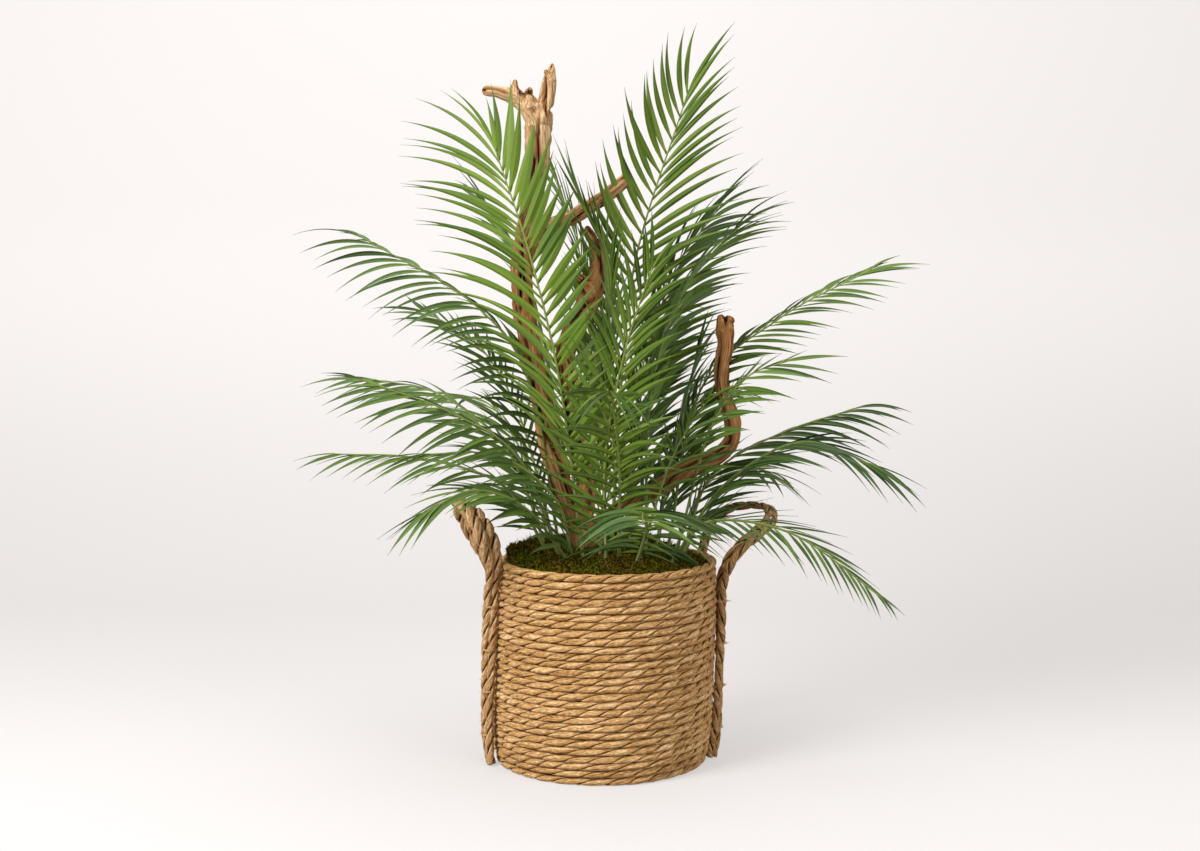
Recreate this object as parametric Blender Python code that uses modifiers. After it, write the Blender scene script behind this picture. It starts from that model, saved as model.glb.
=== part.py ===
"""A potted areca palm: palm fronds and a forked piece of driftwood planted in a mossy pot,
which stands in a coiled rope basket with two rope handles.

Metres, +Z up. The origin is the centre of the basket's underside, and -Y is the front.
"""

import math

import bmesh
import bpy
from mathutils import Matrix, Vector
from mathutils.bvhtree import BVHTree

# --- Driving dimensions -------------------------------------------------------------------

GAP = 0.0003             # clearance between pieces that touch

BASKET_HEIGHT = 0.285
FOOT_RADIUS = 0.1475
BELLY_RADIUS = 0.1555
RIM_RADIUS = 0.1525
BELLY_HEIGHT = 0.150
WALL = 0.0105            # one rope thick
FOOT_ROUND = 0.005

POT_TOP = 0.262
POT_RADII = (0.126, 0.139)    # outside, at the foot and at the brim
POT_WALL = 0.0025

MOSS_RADIUS = 0.1418
MOSS_EDGE_HEIGHT = 0.277
MOSS_MOUND = 0.014

PLANTING_DEPTH = 0.035
POCKET_RADIUS = 0.0054   # a stalk's pocket, across its six corners
ROOT_DEPTH = 0.045
ROOT_POCKET_RADIUS = 0.025
STALK_CLEAR = 0.004      # a stalk starts to lean this far above the moss

STALK_RADIUS = 0.0040    # corner radius of the three-sided stalk, at the moss
STALK_TIP_RADIUS = 0.0013
LEAFLET_WIDTH = 0.0135
LEAFLET_THICKNESS = 0.0011
LEAFLET_FOOT = 0.008     # along the stalk
LEAFLET_BROADEST = 0.4   # along the leaflet
LEAFLET_SPACING = 0.033
BARE_STALK = 0.24        # share of a stalk below its first leaflets
OPENING_ANGLES = (60.0, 24.0)   # leaflet to stalk, at the first and last leaflets
DROOP_UPRIGHT = 0.06     # fall of a leaflet's point, as a share of its length,
DROOP_LEVEL = 0.26       # where the leaflet points up and where it lies level
LONGEST_AT = 0.4         # the longest leaflets, from the first pair to the last
LEAFLET_ENDS = (0.85, 1.0, 0.68)   # length of the first, the longest and the last leaflets

LEG_RADIUS = 0.0070      # handle rope along the wall
LOOP_RADIUS = 0.0118     # the thicker braid of the loop
LEG_STAND_OFF = 0.0030
LEG_FOOT = 0.004
TIE_CORD = 0.0011
TIE_HEIGHTS = (0.045, 0.105, 0.165, 0.225)
LEG_ANGLES = {"left_front": 203.5, "left_back": 171.5, "right_front": -4.0, "right_back": 34.0}

# The free part of each handle, from the top of its front leg to the top of its back leg.
HANDLE_LOOPS = {
    "left": ((-0.151, -0.066, 0.291), (-0.159, -0.062, 0.318), (-0.173, -0.052, 0.343),
             (-0.191, -0.034, 0.362), (-0.208, -0.005, 0.367), (-0.212, 0.012, 0.352),
             (-0.203, 0.021, 0.331), (-0.187, 0.024, 0.305), (-0.173, 0.024, 0.282)),
    "right": ((0.174, -0.012, 0.278), (0.192, -0.010, 0.302), (0.214, -0.003, 0.319),
              (0.235, 0.012, 0.337), (0.233, 0.038, 0.350), (0.208, 0.066, 0.350),
              (0.178, 0.089, 0.340), (0.155, 0.099, 0.315)),
}
HANDLE_STEPS = 38

WOOD_FACE_SHARE = 0.45   # of the skin's faces, which are far finer than the wood needs

# Driftwood limbs: the joint that each limb leaves, then its own (x, y, z, radius).
ROOT = (-0.029, 0.015)
DRIFTWOOD_TRUNK = ((-0.031, 0.014, 0.312, 0.0205), (-0.038, 0.012, 0.342, 0.0190))
DRIFTWOOD_LIMBS = {
    "stem": (("trunk", 2), (
        (-0.056, 0.008, 0.370, 0.0145), (-0.073, 0.008, 0.429, 0.0130),
        (-0.086, 0.010, 0.499, 0.0125), (-0.098, 0.012, 0.562, 0.0125),
        (-0.111, 0.014, 0.618, 0.0120), (-0.118, 0.014, 0.674, 0.0125),
        (-0.109, 0.012, 0.736, 0.0120), (-0.098, 0.012, 0.790, 0.0115),
        (-0.093, 0.012, 0.840, 0.0130), (-0.092, 0.012, 0.888, 0.0165))),
    "spike": (("stem", 9), (
        (-0.079, 0.012, 0.922, 0.0105), (-0.074, 0.012, 0.948, 0.0080),
        (-0.073, 0.012, 0.972, 0.0040))),
    "arm": (("stem", 9), (
        (-0.110, 0.008, 0.916, 0.0095), (-0.137, 0.004, 0.931, 0.0075),
        (-0.168, 0.000, 0.934, 0.0055))),
    "branch": (("stem", 6), (
        (-0.075, 0.020, 0.754, 0.0085), (-0.038, 0.028, 0.770, 0.0080),
        (-0.003, 0.035, 0.793, 0.0072), (0.035, 0.042, 0.822, 0.0062))),
    "curl": (("trunk", 2), (
        (-0.023, 0.030, 0.379, 0.0125), (-0.034, 0.040, 0.440, 0.0110),
        (-0.047, 0.048, 0.511, 0.0105), (-0.060, 0.052, 0.568, 0.0105),
        (-0.042, 0.052, 0.614, 0.0105), (-0.013, 0.052, 0.651, 0.0105),
        (-0.003, 0.050, 0.694, 0.0095), (-0.012, 0.046, 0.725, 0.0070),
        (-0.030, 0.042, 0.750, 0.0030))),
    "right_arm": (("trunk", 1), (
        (0.004, 0.021, 0.337, 0.0125), (0.042, 0.020, 0.362, 0.0105),
        (0.076, 0.012, 0.381, 0.0110), (0.104, 0.006, 0.402, 0.0120),
        (0.134, 0.000, 0.418, 0.0120), (0.162, 0.000, 0.428, 0.0120),
        (0.181, 0.000, 0.449, 0.0115), (0.180, 0.000, 0.479, 0.0110),
        (0.166, 0.002, 0.512, 0.0095), (0.163, 0.004, 0.548, 0.0105),
        (0.170, 0.006, 0.583, 0.0110), (0.171, 0.006, 0.622, 0.0125))),
}

# Fronds: foot (x, y), then three points that the stalk runs through, the last at its tip;
# the longest leaflet; the roll of the blade about its stalk, and how far its two ranks of
# leaflets stand up (or, below zero, hang down) from a flat blade, both in degrees.
FRONDS = {
    "tall_left": ((-0.030, -0.040), (-0.060, -0.085, 0.535), (-0.099, -0.095, 0.705),
                  (-0.147, -0.070, 0.850), 0.175, 68, 12),
    "tall_right": ((0.010, -0.010), (0.023, 0.005, 0.530), (0.040, 0.000, 0.700),
                   (0.099, -0.035, 0.915), 0.150, -75, 12),
    "left_high": ((-0.062, 0.000), (-0.115, -0.012, 0.500), (-0.185, -0.025, 0.645),
                  (-0.295, -0.040, 0.737), 0.135, 12, -25),
    "right_long": ((0.090, 0.030), (0.132, 0.030, 0.490), (0.230, 0.010, 0.622),
                   (0.360, -0.035, 0.688), 0.125, -12, -35),
    "left_mid": ((-0.062, -0.035), (-0.113, -0.075, 0.442), (-0.205, -0.115, 0.512),
                 (-0.305, -0.155, 0.542), 0.125, 12, -28),
    "left_low": ((-0.076, -0.016), (-0.142, -0.036, 0.392), (-0.252, -0.050, 0.430),
                 (-0.353, -0.062, 0.440), 0.100, 8, -35),
    "right_droop": ((0.095, -0.040), (0.150, -0.085, 0.362), (0.260, -0.120, 0.345),
                    (0.378, -0.140, 0.268), 0.110, -8, -32),
    "right_dark": ((0.112, 0.015), (0.158, 0.026, 0.392), (0.270, 0.040, 0.462),
                   (0.390, 0.050, 0.500), 0.120, 0, -35),
    "right_low_back": ((0.108, -0.018), (0.160, -0.045, 0.385), (0.264, -0.080, 0.445),
                       (0.368, -0.110, 0.410), 0.125, -5, -22),
    "right_mid": ((0.100, -0.005), (0.131, -0.048, 0.455), (0.190, -0.088, 0.540),
                  (0.258, -0.120, 0.565), 0.130, -15, -20),
    "left_front_low": ((-0.052, -0.052), (-0.103, -0.095, 0.365), (-0.176, -0.125, 0.392),
                       (-0.238, -0.148, 0.370), 0.110, 8, -25),
    "front_droop": ((0.055, -0.070), (0.066, -0.110, 0.348), (0.126, -0.145, 0.360),
                    (0.208, -0.180, 0.318), 0.110, -10, -15),
    "right_high": ((0.058, -0.012), (0.067, 0.002, 0.505), (0.108, 0.028, 0.665),
                   (0.190, 0.025, 0.755), 0.130, -50, -5),
    "back_right_high": ((0.035, 0.050), (0.055, 0.075, 0.523), (0.098, 0.090, 0.700),
                        (0.167, 0.115, 0.805), 0.125, -50, 0),
    "centre_front": ((0.002, -0.050), (0.002, -0.090, 0.445), (0.027, -0.125, 0.580),
                     (0.061, -0.160, 0.688), 0.130, -50, 5),
    "centre_upright": ((-0.006, -0.026), (0.006, -0.060, 0.512), (0.008, -0.070, 0.685),
                       (-0.028, -0.090, 0.778), 0.125, 60, 5),
    "left_mid_back": ((-0.080, 0.015), (-0.137, 0.040, 0.430), (-0.236, 0.068, 0.510),
                      (-0.335, 0.100, 0.530), 0.120, 8, -30),
    "back_left_high": ((-0.070, 0.045), (-0.124, 0.070, 0.473), (-0.193, 0.085, 0.602),
                       (-0.278, 0.100, 0.655), 0.135, 12, -30),
    "front_reach": ((0.020, -0.040), (0.020, -0.105, 0.420), (0.010, -0.185, 0.520),
                    (0.006, -0.275, 0.535), 0.120, 0, -20),
    "inner_left": ((-0.045, -0.034), (-0.063, -0.078, 0.406), (-0.097, -0.105, 0.480),
                   (-0.141, -0.125, 0.514), 0.110, 20, -10),
    "inner_right": ((0.050, -0.035), (0.068, -0.062, 0.400), (0.108, -0.080, 0.485),
                    (0.155, -0.095, 0.530), 0.110, -30, -10),
    "back_centre": ((-0.018, 0.070), (-0.015, 0.105, 0.514), (-0.035, 0.125, 0.710),
                    (-0.080, 0.135, 0.845), 0.120, 60, 0),
    "back_left_tall": ((-0.042, 0.066), (-0.072, 0.100, 0.500), (-0.111, 0.130, 0.674),
                       (-0.171, 0.165, 0.780), 0.125, 45, -10),
    "back_right_mid": ((0.075, 0.065), (0.087, 0.092, 0.428), (0.117, 0.110, 0.543),
                       (0.160, 0.125, 0.620), 0.120, -40, -10),
    "back_left_reach": ((-0.030, 0.090), (-0.048, 0.145, 0.450), (-0.070, 0.215, 0.560),
                        (-0.095, 0.305, 0.585), 0.120, 10, -25),
    "back_right_reach": ((0.030, 0.085), (0.044, 0.140, 0.460), (0.070, 0.210, 0.585),
                         (0.105, 0.300, 0.625), 0.120, -10, -25),
    "back_left_low": ((-0.078, 0.072), (-0.112, 0.120, 0.400), (-0.170, 0.185, 0.485),
                      (-0.240, 0.255, 0.500), 0.120, 5, -25),
    "back_right_low": ((0.078, 0.088), (0.098, 0.130, 0.400), (0.140, 0.195, 0.485),
                       (0.195, 0.270, 0.505), 0.120, -5, -25),
    "back_droop": ((0.000, 0.105), (0.002, 0.155, 0.360), (0.010, 0.230, 0.400),
                   (0.020, 0.310, 0.370), 0.110, 0, -25),
    "back_right_droop": ((0.102, 0.052), (0.138, 0.090, 0.360), (0.190, 0.135, 0.400),
                         (0.255, 0.180, 0.385), 0.110, 0, -25),
}

# What a leaflet tries when another piece is in its way: (share of its length, turn in degrees).
LEAFLET_TRIES = ((1.0, 0), (1.0, 14), (1.0, -14), (0.75, 0), (0.75, 22), (0.75, -22),
                 (0.5, 0), (0.5, 25), (0.5, -25), (0.32, 0))

COLOURS = {
    "rope": ((0.42, 0.24, 0.10), 0.85),
    "plastic": ((0.03, 0.03, 0.03), 0.45),
    "soil": ((0.05, 0.03, 0.02), 0.95),
    "moss": ((0.08, 0.09, 0.01), 0.95),
    "wood": ((0.33, 0.19, 0.09), 0.80),
    "leaf": ((0.12, 0.24, 0.04), 0.50),
}


# --- Scene, materials and small helpers -----------------------------------------------------

def empty_scene():
    for thing in list(bpy.data.objects):
        bpy.data.objects.remove(thing, do_unlink=True)


def new_collection(name):
    collection = bpy.data.collections.new(name)
    bpy.context.scene.collection.children.link(collection)
    return collection


def new_material(name):
    colour, roughness = COLOURS[name]
    material = bpy.data.materials.new(name)
    material.use_nodes = True
    shader = material.node_tree.nodes["Principled BSDF"]
    shader.inputs["Base Color"].default_value = (*colour, 1.0)
    shader.inputs["Roughness"].default_value = roughness
    shader.inputs["Metallic"].default_value = 0.0
    return material


def add_object(name, data, collection, material=None):
    thing = bpy.data.objects.new(name, data)
    collection.objects.link(thing)
    if material:
        data.materials.append(material)
    return thing


def mesh_from_bmesh(name, shape):
    mesh = bpy.data.meshes.new(name)
    shape.to_mesh(mesh)
    shape.free()
    return mesh


def cut(body, cutter):
    """Take the cutter's shape out of the body."""
    boolean = body.modifiers.new("pockets", 'BOOLEAN')
    boolean.operation = 'DIFFERENCE'
    boolean.object = cutter


def route(points, count):
    """Evenly spaced points along a smooth curve through the given points."""
    knots = [Vector(point) for point in points]
    knots = [knots[0] * 2 - knots[1]] + knots + [knots[-1] * 2 - knots[-2]]
    fine = []
    for before, start, end, after in zip(knots, knots[1:], knots[2:], knots[3:]):
        for step in range(24):
            t = step / 24
            fine.append(0.5 * (2 * start + (end - before) * t
                               + (2 * before - 5 * start + 4 * end - after) * t ** 2
                               + (3 * start - before - 3 * end + after) * t ** 3))
    fine.append(knots[-2])
    lengths = [0.0]
    for here, there in zip(fine, fine[1:]):
        lengths.append(lengths[-1] + (there - here).length)
    spaced = []
    leg = 0
    for index in range(count):
        target = lengths[-1] * index / (count - 1)
        while leg < len(fine) - 2 and lengths[leg + 1] < target:
            leg += 1
        share = (target - lengths[leg]) / (lengths[leg + 1] - lengths[leg])
        spaced.append(fine[leg].lerp(fine[leg + 1], share))
    return spaced


def blend(start, end, share):
    return start + (end - start) * share


# --- Basket, pot, soil and moss ---------------------------------------------------------------

def basket_radius(height):
    """Outside radius of the basket: it bellies out between its foot and its rim."""
    if height < BELLY_HEIGHT:
        return BELLY_RADIUS - (BELLY_RADIUS - FOOT_RADIUS) * (1 - height / BELLY_HEIGHT) ** 2
    rise = (height - BELLY_HEIGHT) / (BASKET_HEIGHT - BELLY_HEIGHT)
    return BELLY_RADIUS - (BELLY_RADIUS - RIM_RADIUS) * rise ** 2


def moss_height(x, y):
    """Top of the moss mound over a point."""
    return MOSS_EDGE_HEIGHT + MOSS_MOUND * (1 - (x * x + y * y) / MOSS_RADIUS ** 2)


def turned(name, profile, steps, collection, material):
    """A solid turned about Z. The profile runs down its outer side."""
    shape = bmesh.new()
    corners = [shape.verts.new((radius, 0.0, height)) for radius, height in profile]
    for start, end in zip(corners, corners[1:]):
        shape.edges.new((start, end))
    thing = add_object(name, mesh_from_bmesh(name, shape), collection, material)
    screw = thing.modifiers.new("turn", 'SCREW')
    screw.steps = steps
    screw.render_steps = steps
    screw.use_merge_vertices = True
    screw.merge_threshold = 0.0001
    screw.use_smooth_shade = True
    return thing


def make_basket(parts, rope):
    levels = [BASKET_HEIGHT * share for share in (0.06, 0.2, 0.36, 0.53, 0.7, 0.86)]
    crown = BASKET_HEIGHT - WALL * 0.3
    inner = [(basket_radius(level) - WALL, level) for level in levels]
    outer = [(basket_radius(level), level) for level in reversed(levels)]
    rim = [(RIM_RADIUS - WALL, crown), (RIM_RADIUS - WALL * 0.7, BASKET_HEIGHT),
           (RIM_RADIUS - WALL * 0.3, BASKET_HEIGHT), (RIM_RADIUS, crown)]
    floor = [(0.0, WALL), (FOOT_RADIUS - WALL, WALL)]
    foot = [(FOOT_RADIUS, FOOT_ROUND), (FOOT_RADIUS - FOOT_ROUND, 0.0), (0.0, 0.0)]
    return turned("basket", floor + inner + rim + outer + foot, 40, parts, rope)


def make_pot(parts, plastic):
    foot = WALL + GAP
    floor = foot + POT_WALL
    foot_radius, brim_radius = POT_RADII
    profile = [(0.0, floor), (foot_radius - POT_WALL, floor), (brim_radius - POT_WALL, POT_TOP),
               (brim_radius, POT_TOP), (foot_radius, foot), (0.0, foot)]
    return turned("inner_pot", profile, 32, parts, plastic)


def make_soil(parts, earth):
    bottom = WALL + GAP + POT_WALL + GAP
    foot_radius, brim_radius = (radius - POT_WALL - 2 * GAP for radius in POT_RADII)
    profile = [(0.0, POT_TOP), (brim_radius, POT_TOP), (foot_radius, bottom), (0.0, bottom)]
    return turned("soil", profile, 32, parts, earth)


def make_moss(parts, green):
    bottom = POT_TOP + GAP
    shares = (0.0, 0.35, 0.65, 0.88)
    top = [(MOSS_RADIUS * share, moss_height(MOSS_RADIUS * share, 0.0)) for share in shares]
    edge = [(MOSS_RADIUS, MOSS_EDGE_HEIGHT - 0.002), (MOSS_RADIUS, bottom), (0.0, bottom)]
    return turned("moss", top + edge, 32, parts, green)


def add_pocket(shape, spot, radius, sides, floor):
    """An upright prism that sinks a pocket from above the moss down to the floor height."""
    top = MOSS_EDGE_HEIGHT + MOSS_MOUND + 0.02
    place = Matrix.Translation((*spot, (top + floor) / 2))
    bmesh.ops.create_cone(shape, cap_ends=True, segments=sides, radius1=radius, radius2=radius,
                          depth=top - floor, matrix=place)


def make_pockets(cutters):
    shape = bmesh.new()
    for foot, *_ in FRONDS.values():
        add_pocket(shape, foot, POCKET_RADIUS, 6, POT_TOP - PLANTING_DEPTH)
    add_pocket(shape, ROOT, ROOT_POCKET_RADIUS, 12, POT_TOP - ROOT_DEPTH)
    cutter = add_object("planting_pockets", mesh_from_bmesh("planting_pockets", shape), cutters)
    cutter.display_type = 'WIRE'
    cutter.hide_render = True
    return cutter


# --- Handles and their ties -------------------------------------------------------------------

def leg_place(name):
    """Plan position of a handle leg beside the wall."""
    angle = math.radians(LEG_ANGLES[name])
    reach = BELLY_RADIUS + LEG_STAND_OFF + LEG_RADIUS
    return reach * math.cos(angle), reach * math.sin(angle)


def make_handle(side, parts, rope):
    front = leg_place(side + "_front")
    back = leg_place(side + "_back")
    leg_levels = (LEG_FOOT, 0.12, 0.235, 0.262)
    points = ([(*front, level) for level in leg_levels] + list(HANDLE_LOOPS[side])
              + [(*back, level) for level in reversed(leg_levels)])
    curve = bpy.data.curves.new("handle_" + side, 'CURVE')
    curve.dimensions = '3D'
    curve.bevel_depth = LOOP_RADIUS
    curve.bevel_resolution = 2
    curve.use_fill_caps = True
    spline = curve.splines.new('POLY')
    path = route(points, HANDLE_STEPS)
    spline.points.add(len(path) - 1)
    for point, place in zip(spline.points, path):
        swell = min(1.0, max(0.0, (place.z - 0.282) / 0.035))
        point.co = (*place, 1.0)
        point.radius = blend(LEG_RADIUS, LOOP_RADIUS, swell) / LOOP_RADIUS
    return add_object("handle_" + side, curve, parts, rope)


def make_ties(parts, rope):
    """Lashings that hold the legs to the wall: one small ring at each height on each leg."""
    ring = LEG_RADIUS + GAP + TIE_CORD
    for leg in LEG_ANGLES:
        for number, level in enumerate(TIE_HEIGHTS, start=1):
            bpy.ops.mesh.primitive_torus_add(major_segments=10, minor_segments=4,
                                             major_radius=ring / math.cos(math.pi / 10),
                                             minor_radius=TIE_CORD,
                                             location=(*leg_place(leg), level))
            tie = bpy.context.object
            tie.name = f"tie_{leg}_{number}"
            tie.data.materials.append(rope)
            for owner in tie.users_collection:
                owner.objects.unlink(tie)
            parts.objects.link(tie)


# --- Driftwood --------------------------------------------------------------------------------

def make_driftwood(parts, wood):
    """One branching solid: a skeleton of joints with a skin of the right thickness."""
    start = (*ROOT, POT_TOP - ROOT_DEPTH + 0.004, 0.0195)
    joints = [start, *DRIFTWOOD_TRUNK]
    links = [(0, 1), (1, 2)]
    first_of = {"trunk": 0}
    for limb, ((parent, step), own) in DRIFTWOOD_LIMBS.items():
        first_of[limb] = len(joints)
        previous = first_of[parent] + step
        for joint in own:
            joints.append(joint)
            links.append((previous, len(joints) - 1))
            previous = len(joints) - 1
    mesh = bpy.data.meshes.new("driftwood")
    mesh.from_pydata([joint[:3] for joint in joints], links, [])
    driftwood = add_object("driftwood", mesh, parts, wood)
    skin = driftwood.modifiers.new("bark", 'SKIN')
    skin.use_smooth_shade = True
    for corner, joint in zip(mesh.skin_vertices[0].data, joints):
        corner.radius = (joint[3], joint[3])
    mesh.skin_vertices[0].data[0].use_root = True
    smooth = driftwood.modifiers.new("smooth", 'SUBSURF')
    smooth.levels = 1
    smooth.render_levels = 1
    lighter = driftwood.modifiers.new("fewer faces", 'DECIMATE')
    lighter.ratio = WOOD_FACE_SHARE
    return driftwood


# --- Fronds -----------------------------------------------------------------------------------

def stalk_stations(path_length):
    """Distances along a stalk: two for each pair of leaflets, bare steps below them."""
    first = path_length * BARE_STALK
    pairs = round((path_length - first) / LEAFLET_SPACING)
    spacing = (path_length - first - LEAFLET_FOOT) / (pairs - 1)
    bare = [first * share for share in (0.0, 0.25, 0.5, 0.75)]
    feet = [first + spacing * pair for pair in range(pairs)]
    return bare, feet


def blade_up(tangent, roll):
    """The direction that the upper side of a frond faces, rolled about its stalk."""
    up = Vector((0.0, 0.0, 1.0))
    face = (up - tangent * up.dot(tangent)).normalized()
    return Matrix.Rotation(math.radians(roll), 3, tangent) @ face


def make_stalk(name, foot, points, roll):
    """The three-sided stalk of a frond, with the faces that its leaflets grow from."""
    base = Vector((*foot, moss_height(*foot) + STALK_CLEAR))
    fine = route([base, *points], 160)
    length = sum((there - here).length for here, there in zip(fine, fine[1:]))
    bare, feet = stalk_stations(length)
    stations = bare + [place for foot_at in feet for place in (foot_at, foot_at + LEAFLET_FOOT)]

    def sample(distance):
        index = min(distance / length, 1.0) * (len(fine) - 1)
        whole = min(int(index), len(fine) - 2)
        return fine[whole].lerp(fine[whole + 1], index - whole)

    def direction(distance):
        return (sample(distance + 0.004) - sample(distance - 0.004)).normalized()

    reference = blade_up(direction(length * 0.6), roll)
    planted = Vector((*foot, POT_TOP - PLANTING_DEPTH + GAP))
    rings = [(planted, Vector((0, 0, 1)), STALK_RADIUS)]
    for distance in stations:
        radius = blend(STALK_RADIUS, STALK_TIP_RADIUS, (distance / length) ** 0.8)
        tangent = direction(distance) if distance else Vector((0, 0, 1))
        rings.append((sample(distance), tangent, radius))

    shape = bmesh.new()
    corners = []
    frames = []
    for centre, tangent, radius in rings:
        up = (reference - tangent * reference.dot(tangent)).normalized()
        side = tangent.cross(up)
        frames.append((tangent, up, side))
        corners.append([shape.verts.new(centre + radius * (math.sin(angle) * side
                                                           + math.cos(angle) * up))
                        for angle in (math.radians(corner) for corner in (0, 120, 240))])
    shape.faces.new(corners[0][::-1])
    walls = []
    for low, high in zip(corners, corners[1:]):
        walls.append([shape.faces.new((low[k], low[(k + 1) % 3], high[(k + 1) % 3], high[k]))
                      for k in range(3)])
    shape.faces.new(corners[-1])
    bmesh.ops.recalc_face_normals(shape, faces=shape.faces)

    growing = []
    for pair in range(len(feet)):
        band = 1 + len(bare) + 2 * pair
        share = pair / (len(feet) - 1)
        for face, hand in ((walls[band][0], 1), (walls[band][2], -1)):
            growing.append((face, frames[band], hand, share))
    return shape, growing


def leaflet_share(share):
    """Length of a leaflet against the longest one, from the first pair to the last."""
    first, longest, last = LEAFLET_ENDS
    end = first if share < LONGEST_AT else last
    away = abs(share - LONGEST_AT) / (LONGEST_AT if share < LONGEST_AT else 1 - LONGEST_AT)
    return blend(longest, end, away ** 2)


def leaflet_outline(face, frame, hand, share, raised, length, turn):
    """The broad middle and the point of one leaflet that grows from a stalk face."""
    tangent, up, side = frame
    opening = math.radians(blend(*OPENING_ANGLES, share) + turn)
    rise = math.radians(raised)
    out = side * (hand * math.cos(rise)) + up * math.sin(rise)
    way = tangent * math.cos(opening) + out * math.sin(opening)
    across = (tangent * math.sin(opening) - out * math.cos(opening)).normalized()
    thick = way.cross(across).normalized()
    foot = face.calc_center_median()
    fall = length * blend(DROOP_UPRIGHT, DROOP_LEVEL, math.hypot(way.x, way.y))
    middle = foot + way * length * LEAFLET_BROADEST - Vector((0, 0, fall * LEAFLET_BROADEST ** 2))
    point = foot + way * length - Vector((0, 0, fall))
    half_width = across * (LEAFLET_WIDTH / 2)
    half_thick = thick * (LEAFLET_THICKNESS / 2)
    ring = []
    for corner in face.verts:
        offset = corner.co - foot
        along = 1 if offset.dot(across) > 0 else -1
        over = 1 if offset.dot(thick) > 0 else -1
        ring.append((along, over))
    if len(set(ring)) < 4:
        return None
    return [middle + half_width * along + half_thick * over for along, over in ring], point


def leaflet_tree(face, middle, point):
    """Search tree of one leaflet, with a little room around it."""
    centre = sum(middle, Vector()) / 4
    roomy = [corner + (corner - centre).normalized() * 0.0009 for corner in middle]
    tip = point + (point - centre).normalized() * 0.0015
    foot = [corner.co.copy() for corner in face.verts]
    corners = foot + roomy + [tip]
    sides = [(k, (k + 1) % 4, 4 + (k + 1) % 4, 4 + k) for k in range(4)]
    sides += [(4 + k, 4 + (k + 1) % 4, 8) for k in range(4)]
    return BVHTree.FromPolygons(corners, sides)


def grow_leaflet(shape, face, middle, point):
    """Draw a stalk face out to the leaflet's middle, and that to its point."""
    grown = bmesh.ops.extrude_discrete_faces(shape, faces=[face])["faces"][0]
    for corner, place in zip(grown.verts, middle):
        corner.co = place
    tip = bmesh.ops.poke(shape, faces=[grown])["verts"][0]
    tip.co = point


def make_fronds(parts, leaf, obstacles):
    """All fronds. Stalks come first, then leaflets, which give way to what is there."""
    stalks = {}
    for name, (foot, rise, bend, tip, _, roll, _) in FRONDS.items():
        stalks[name] = make_stalk(name, foot, (rise, bend, tip), roll)
    trees = dict(obstacles)
    trees.update({name: BVHTree.FromBMesh(shape) for name, (shape, _) in stalks.items()})
    kept = 0
    left_out = 0
    for name, (shape, growing) in stalks.items():
        longest, _, raised = FRONDS[name][4:]
        own = []
        others = [tree for other, tree in trees.items() if other != name]
        for face, frame, hand, share in growing:
            full = longest * leaflet_share(share)
            for shorter, turn in LEAFLET_TRIES:
                outline = leaflet_outline(face, frame, hand, share, raised, full * shorter,
                                          turn)
                if outline is None:
                    continue
                tree = leaflet_tree(face, *outline)
                if not any(tree.overlap(other) for other in others + own[-6:]):
                    grow_leaflet(shape, face, *outline)
                    own.append(tree)
                    kept += 1
                    break
            else:
                left_out += 1
        trees[name] = BVHTree.FromBMesh(shape)
        mesh = mesh_from_bmesh("frond_" + name, shape)
        add_object("frond_" + name, mesh, parts, leaf)
    print(f"leaflets grown: {kept}, left out: {left_out}")


# --- The whole arrangement ----------------------------------------------------------------------

def main():
    empty_scene()
    parts = new_collection("potted_palm")
    cutters = new_collection("cutters")
    materials = {name: new_material(name) for name in COLOURS}

    pockets = make_pockets(cutters)
    solid = [make_basket(parts, materials["rope"]),
             make_pot(parts, materials["plastic"]),
             make_soil(parts, materials["soil"]),
             make_moss(parts, materials["moss"]),
             make_driftwood(parts, materials["wood"]),
             make_handle("left", parts, materials["rope"]),
             make_handle("right", parts, materials["rope"])]
    cut(solid[2], pockets)
    cut(solid[3], pockets)
    make_ties(parts, materials["rope"])

    bpy.context.view_layer.update()
    view = bpy.context.evaluated_depsgraph_get()
    obstacles = {}
    for thing in solid:
        if thing.name in ("inner_pot", "soil"):
            continue
        evaluated = thing.evaluated_get(view)
        mesh = evaluated.to_mesh()
        obstacles[thing.name] = BVHTree.FromPolygons([vert.co for vert in mesh.vertices],
                                                     [face.vertices for face in mesh.polygons])
        evaluated.to_mesh_clear()
    make_fronds(parts, materials["leaf"], obstacles)


main()
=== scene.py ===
# %% [markdown]
# # A potted areca palm
#
# The plant is a ring of feathery palm fronds around a forked piece of driftwood. They grow
# from a mossy pot, and the pot stands in a basket that is coiled from twisted rope, with
# two rope handles tied to its wall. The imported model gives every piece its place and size.
# This lesson makes each piece again as it looks close by: rope made of real strands,
# leaflets with a fold, moss made of sprigs and wood with a grain that follows each limb.

# %% Load the frame
import math
import random

import bpy
import numpy as np
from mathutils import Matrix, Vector, noise


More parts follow.
